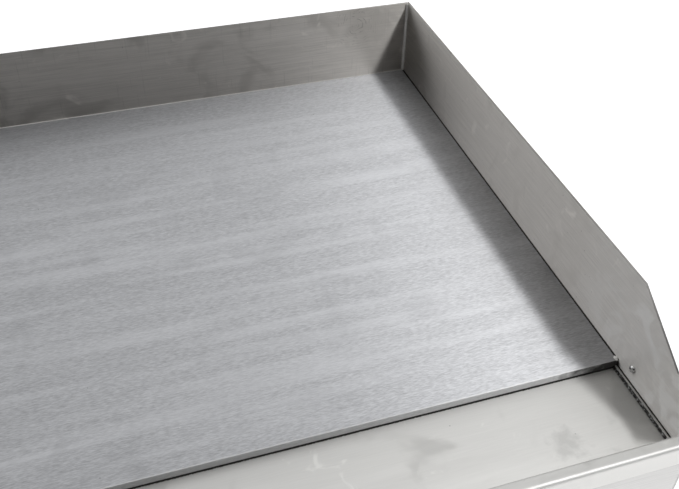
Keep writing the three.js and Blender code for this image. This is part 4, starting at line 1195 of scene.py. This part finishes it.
class GRIDDLE_OT_knobs(Operator):
    """Two temperature knobs, their pointers and printed dials"""
    bl_idname = "griddle.knobs"
    bl_label = "Knobs"

    def execute(self, context):
        black = moulded("black_phenolic", colours().knob, 0.34, coat=0.15)
        for side in ("left", "right"):
            low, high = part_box(f"{side}_knob")
            centre = (low + high) / 2
            place = Vector((centre.x, high.y, centre.z))
            knob = self.knob(f"{side}_knob_moulding", place)
            finish_piece(knob, f"{side}_knob", black, (f"{side}_knob",))
            mark = self.pointer(f"{side}_knob_pointer", place)
            finish_piece(mark, f"{side}_knob", ink("white_ink", (0.86, 0.86, 0.84)))
            dial = self.dial(f"{side}_dial_print", Vector((centre.x, PANEL_FACE, centre.z)))
            finish_piece(dial, "casing", ink("dark_ink", (0.02, 0.02, 0.022)))
        return {"FINISHED"}

    def knob(self, name, place):
        """Skirted knob with a fluted grip."""
        facets = 144
        flutes, flute_depth = 12, 0.085
        grip_foot = 7.5 * MM
        profile = fillet([(0, 0.2), (26.4, 0.2), (27, 0.8), (27, 1.8), (25, 3.4), (20.6, 5.2), (19.4, 8.0),
                          (18.6, 23.4), (16.2, 25.0), (12, 24.6), (0, 24.2)], 0.5, 3)
        bm = revolve(in_mm(profile), facets)
        for v in bm.verts:
            radius = math.hypot(v.co.x, v.co.y)
            if v.co.z > grip_foot and radius > 14 * MM:
                around = math.atan2(v.co.y, v.co.x)
                dip = max(0.0, math.cos(flutes * around)) ** 3
                rise = min(1.0, (v.co.z - grip_foot) / (4 * MM))
                factor = 1 - flute_depth * dip * rise
                v.co.x *= factor
                v.co.y *= factor
        bm.transform(Matrix.Translation(place) @ FORWARD)
        obj = object_from(name, bm)
        smooth(obj, 50)
        return obj

    def pointer(self, name, place):
        """White line from the cap's rim down the grip to the skirt."""
        obj = box_object(name, (-0.9 * MM, 9 * MM, 24.2 * MM), (0.9 * MM, 16 * MM, 25.15 * MM))
        skirt = box_object(name + "_skirt", (-0.9 * MM, 21 * MM, 2.4 * MM), (0.9 * MM, 25.6 * MM, 5.25 * MM))
        for v in skirt.data.vertices:
            if v.co.z > 3 * MM and v.co.y > 23 * MM:
                v.co.z = 3.2 * MM
        boolean(obj, skirt, "UNION")
        obj.data.transform(Matrix.Translation(place) @ FORWARD)
        soften_edges(obj, 0.15 * MM, 2)
        return obj

    def dial(self, name, place):
        """Printed ticks and temperatures, which climb clockwise from the off mark at the top."""
        bm = bmesh.new()
        thickness = 0.08 * MM
        inner = 30.5 * MM
        for degrees in range(0, 271, 10):
            outer = (33 if degrees % 45 == 0 else 32) * MM
            self.tick(bm, math.radians(degrees), inner, outer, 0.35 * MM, thickness)
        for index in range(7):
            angle = math.radians(45 * index)
            self.tick(bm, angle, inner, 34 * MM, 0.55 * MM, thickness)
            self.number(bm, str(50 * index), angle, 38.5 * MM, thickness)
        bm.transform(Matrix.Translation(place) @ FORWARD)
        return object_from(name, bm)

    def tick(self, bm, angle, inner, outer, width, thickness):
        made = bmesh.ops.create_cube(bm, size=1.0)["verts"]
        turn = Matrix.Rotation(-angle, 4, "Z")
        place = turn @ Matrix.Translation((0, (inner + outer) / 2, thickness / 2))
        size = Matrix.Diagonal((width, outer - inner, thickness, 1))
        bmesh.ops.transform(bm, verts=made, matrix=place @ size)

    def number(self, bm, text, angle, radius, thickness):
        curve = bpy.data.curves.new("number", "FONT")
        curve.body = text
        curve.size = 6.6 * MM
        curve.align_x = "CENTER"
        curve.align_y = "CENTER"
        curve.extrude = thickness / 2
        curve.offset = 0.12 * MM
        holder = new_object("number", curve)
        mesh = bpy.data.meshes.new_from_object(holder.evaluated_get(bpy.context.evaluated_depsgraph_get()))
        bpy.data.objects.remove(holder)
        spot = Vector((math.sin(angle) * radius, math.cos(angle) * radius, thickness / 2))
        mesh.transform(Matrix.Translation(spot))
        bm.from_mesh(mesh)
        bpy.data.meshes.remove(mesh)


def ink(name, colour):
    return moulded(name, colour, 0.5, grain_depth=0.000002)


class GRIDDLE_OT_lamps(Operator):
    """Four indicator lamps: bright bezels and domed lenses"""
    bl_idname = "griddle.lamps"
    bl_label = "Indicator Lamps"

    def execute(self, context):
        for side in ("left", "right"):
            for kind, tint in (("power", colours().power), ("heating", colours().heating)):
                node = f"{side}_{kind}_lamp"
                centre = centre_of(node)
                place = Vector((centre.x, PANEL_FACE, centre.z))
                bezel = [(6.1, -16), (6.1, 0.2), (8, 0.2), (8, 1.2), (7.3, 2.0), (6.5, 2.0), (6.0, 1.4),
                         (5.4, 1.4), (5.4, -16), (6.1, -16)]
                ring = turned(f"{node}_bezel", in_mm(bezel), FORWARD, place)
                finish_piece(ring, "casing", chrome_trim())
                lens = [(0, -2), (5.3, -2), (5.3, 2.6), (4.9, 3.8), (3.8, 5.0), (2.2, 5.8), (0, 6.1)]
                glass = turned(f"{node}_lens", in_mm(lens), FORWARD, place)
                slot = "green_lens" if kind == "power" else "amber_lens"
                finish_piece(glass, "casing", coloured_lens(f"{slot}_moulding", tuple(tint)), (node,))
        return {"FINISHED"}


def chrome_trim():
    return dull_metal("chrome_trim", (0.80, 0.80, 0.80), 0.08, mottle=0.01)


class GRIDDLE_OT_feet(Operator):
    """Four moulded rubber feet"""
    bl_idname = "griddle.feet"
    bl_label = "Feet"

    def execute(self, context):
        rubber = moulded("moulded_foot_rubber", (0.014, 0.014, 0.014), 0.62, grain_depth=0.00005)
        for name in ("front_left", "front_right", "rear_left", "rear_right"):
            centre = centre_of(f"{name}_foot")
            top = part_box(f"{name}_foot")[1].z / MM
            profile = fillet([(0, 14), (7, 14), (7, 0), (17.5, 0), (20, 2.5), (19.6, 7), (18.4, 8),
                              (18.4, 9.4), (19, 10.4), (16, top - 1.5), (15.4, top), (0, top)], 0.5, 3)
            foot = turned(f"{name}_rubber_foot", in_mm(profile), Matrix(),
                          Vector((centre.x, centre.y, 0)))
            finish_piece(foot, "casing", rubber, (f"{name}_foot",))
        return {"FINISHED"}


class GRIDDLE_OT_supply(Operator):
    """Cable gland and earth stud"""
    bl_idname = "griddle.supply"
    bl_label = "Supply Fittings"

    def execute(self, context):
        nylon = moulded("black_nylon", (0.02, 0.02, 0.021), 0.45)
        centre = centre_of("cable_gland")
        face = Vector((centre.x, REAR_HIGH.y, centre.z))
        cap = [(4.5, -12), (8, -12), (8, 0.3), (12.2, 0.3), (12.5, 0.8), (12.5, 5.2), (11.2, 5.5), (11, 6.2),
               (11, 12.5), (10.2, 13.6), (8.2, 17.4), (7.6, 18), (4.9, 18), (4.5, 17.6), (4.5, -12)]
        gland = turned("cable_gland_body", in_mm(cap), REARWARD, face, facets=96)
        self.flats(gland, face, 10.6 * MM, 6 * MM, 13.2 * MM)
        finish_piece(gland, "casing", nylon, ("cable_gland",))
        stud_centre = centre_of("earth_stud")
        spot = Vector((stud_centre.x, REAR_HIGH.y, stud_centre.z))
        bolt = [(0, -14), (3, -14), (3, 0.3), (6.5, 0.3), (6.5, 1.5), (5.6, 1.5), (5.6, 6), (3, 6), (3, 11.6),
                (2.6, 12), (0, 12)]
        stud = turned("earth_stud_bolt", in_mm(bolt), REARWARD, spot, facets=96)
        self.flats(stud, spot, 4.9 * MM, 1.6 * MM, 14.1 * MM)
        finish_piece(stud, "casing", polished_metal(), ("earth_stud",))
        return {"FINISHED"}

    def flats(self, obj, centre, reach, low, high):
        """Presses six wrench flats into the part of the piece between two depths."""
        for v in obj.data.vertices:
            depth = v.co.y - centre.y
            radial = Vector((v.co.x - centre.x, v.co.z - centre.z))
            if not low <= depth <= high or radial.length < reach * 0.99:
                continue
            angle = math.atan2(radial.y, radial.x)
            sector = (angle + math.pi / 6) % (math.pi / 3) - math.pi / 6
            limit = reach / math.cos(sector)
            if radial.length > limit:
                factor = limit / radial.length
                v.co.x = centre.x + radial.x * factor
                v.co.z = centre.z + radial.y * factor


class GRIDDLE_OT_inner_parts(Operator):
    """Finishes of the heating, sensing and wiring parts inside the casing"""
    bl_idname = "griddle.inner_parts"
    bl_label = "Inner Parts"

    def execute(self, context):
        finishes = {
            "zinc_steel": zinc_steel(),
            "element_sheath": dull_metal("oxidised_sheath", (0.10, 0.11, 0.10), 0.6, mottle=0.015),
            "insulation": ceramic_fibre(),
            "copper_tube": dull_metal("drawn_copper", (0.62, 0.30, 0.15), 0.3, mottle=0.01),
            "wire_insulation": moulded("wire_sleeve", (0.20, 0.11, 0.07), 0.75),
            "black_plastic": moulded("black_nylon", (0.02, 0.02, 0.021), 0.45),
        }
        slots = {row["node"]: row["material_slot"] for row in frame["record"]["subparts"]}
        for name, obj in frame["nodes"].items():
            if obj.hide_render:
                continue
            obj.data.materials.clear()
            obj.data.materials.append(finishes[slots[name]])
        return {"FINISHED"}


def ceramic_fibre():
    return dull_metal("ceramic_fibre_board", (0.68, 0.64, 0.55), 0.9, mottle=0.008, metallic=0.0)


# ---------------------------------------------------------------- stage

class GRIDDLE_OT_stage(Operator):
    """Pale floor, soft studio light and the camera"""
    bl_idname = "griddle.stage"
    bl_label = "Stage"

    def execute(self, context):
        self.floor()
        self.world()
        self.lights()
        self.camera()
        context.scene.view_settings.view_transform = "Standard"
        return {"FINISHED"}

    def floor(self):
        bm = bmesh.new()
        bmesh.ops.create_grid(bm, x_segments=1, y_segments=1, size=6.0)
        floor = object_from("studio_floor", bm)
        material, tree, shader, place = new_material("pale_floor")
        cloud = noise_value(tree, place, 2.0, 2.0)
        tree.links.new(blend_colours(tree, cloud, (0.93, 0.93, 0.93), (0.95, 0.95, 0.95)),
                       shader.inputs["Base Color"])
        shader.inputs["Roughness"].default_value = 0.9
        shader.inputs["Emission Color"].default_value = (1.0, 1.0, 1.0, 1.0)
        shader.inputs["Emission Strength"].default_value = FLOOR_GLOW
        floor.data.materials.append(material)

    def world(self):
        """A pale room that is dimmer towards the cook's side than above and behind the griddle."""
        world = bpy.data.worlds.new("studio_room")
        world.use_nodes = True
        tree = world.node_tree
        tree.nodes.clear()
        direction = tree.nodes.new("ShaderNodeTexCoord").outputs["Generated"]
        parts = add_node(tree, "ShaderNodeSeparateXYZ", {0: direction})
        leaning = math_node(tree, "SUBTRACT", parts.outputs["Y"],
                            times(tree, parts.outputs["X"], ROOM_LEAN))
        behind = remap(tree, leaning, ROOM_EDGE, 0.72, ROOM_FRONT, ROOM_BEHIND)
        upward = math_node(tree, "ADD", times(tree, parts.outputs["Z"], 0.9),
                           times(tree, parts.outputs["X"], ROOM_TILT))
        overhead = remap(tree, upward, 0.62, 0.93, 0.0, ROOM_ABOVE)
        low = remap(tree, parts.outputs["Z"], 0.08, 0.3, ROOM_HORIZON, 0.0)
        seen = tree.nodes.new("ShaderNodeLightPath").outputs["Is Camera Ray"]
        level = math_node(tree, "ADD", math_node(tree, "MAXIMUM", behind, low), overhead)
        chosen = blend_values(tree, seen, level, 0.95)
        background = add_node(tree, "ShaderNodeBackground", {"Color": (0.985, 0.99, 1.0, 1.0),
                                                             "Strength": chosen})
        output = tree.nodes.new("ShaderNodeOutputWorld")
        tree.links.new(background.outputs[0], output.inputs[0])
        bpy.context.scene.world = world

    def lights(self):
        target = Vector((0.22, 0.0, PLATE_TOP))
        self.area("key_softbox", KEY_PLACE, target, KEY_SIZE, KEY_POWER)

    def area(self, name, place, target, size, power):
        data = bpy.data.lights.new(name, "AREA")
        data.shape = "RECTANGLE"
        data.size, data.size_y = size
        data.energy = power
        light = new_object(name, data)
        light.location = place
        light.rotation_euler = (target - place).to_track_quat("-Z", "Y").to_euler()

    def camera(self):
        """Placed from the inner back right corner of the plate, looking down and a little to the right."""
        data = bpy.data.cameras.new("view")
        data.sensor_width = 36.0
        data.lens = VIEW_LENS
        camera = new_object("view", data)
        corner = Vector((WALL_INNER, REAR, PLATE_TOP))
        camera.location = corner + VIEW_FROM_CORNER
        heading = Matrix.Rotation(math.radians(VIEW_HEADING), 4, "Z")
        look_down = Matrix.Rotation(math.radians(90 - VIEW_PITCH), 4, "X")
        roll = Matrix.Rotation(math.radians(VIEW_ROLL), 4, "Z")
        camera.rotation_euler = (heading @ look_down @ roll).to_euler()
        bpy.context.scene.camera = camera


BUILD_OPERATORS = (
    GRIDDLE_OT_stage, GRIDDLE_OT_cooking_plate, GRIDDLE_OT_splash_guard, GRIDDLE_OT_front_trough,
    GRIDDLE_OT_casing, GRIDDLE_OT_fasteners, GRIDDLE_OT_drawer, GRIDDLE_OT_knobs, GRIDDLE_OT_lamps,
    GRIDDLE_OT_feet, GRIDDLE_OT_supply, GRIDDLE_OT_inner_parts,
)


class GRIDDLE_PT_build(Panel):
    """Sidebar list of the build steps"""
    bl_idname = "GRIDDLE_PT_build"
    bl_label = "Flat Top Griddle"
    bl_space_type = "VIEW_3D"
    bl_region_type = "UI"
    bl_category = "Griddle"

    def draw(self, context):
        for operator in BUILD_OPERATORS:
            self.layout.operator(operator.bl_idname)
        for group in (context.scene.griddle_sizes, context.scene.griddle_colours):
            for name in group.bl_rna.properties.keys():
                if name not in ("rna_type", "name"):
                    self.layout.prop(group, name)


CLASSES = (GriddleSizes, GriddleColours, *BUILD_OPERATORS, GRIDDLE_PT_build)


def register():
    for cls in CLASSES:
        bpy.utils.register_class(cls)
    bpy.types.Scene.griddle_sizes = PointerProperty(type=GriddleSizes)
    bpy.types.Scene.griddle_colours = PointerProperty(type=GriddleColours)


def unregister():
    del bpy.types.Scene.griddle_sizes
    del bpy.types.Scene.griddle_colours
    for cls in reversed(CLASSES):
        bpy.utils.unregister_class(cls)


def main():
    register()
    for operator in BUILD_OPERATORS:
        group, step = operator.bl_idname.split(".")
        getattr(getattr(bpy.ops, group), step)()


if __name__ == "__main__":
    main()
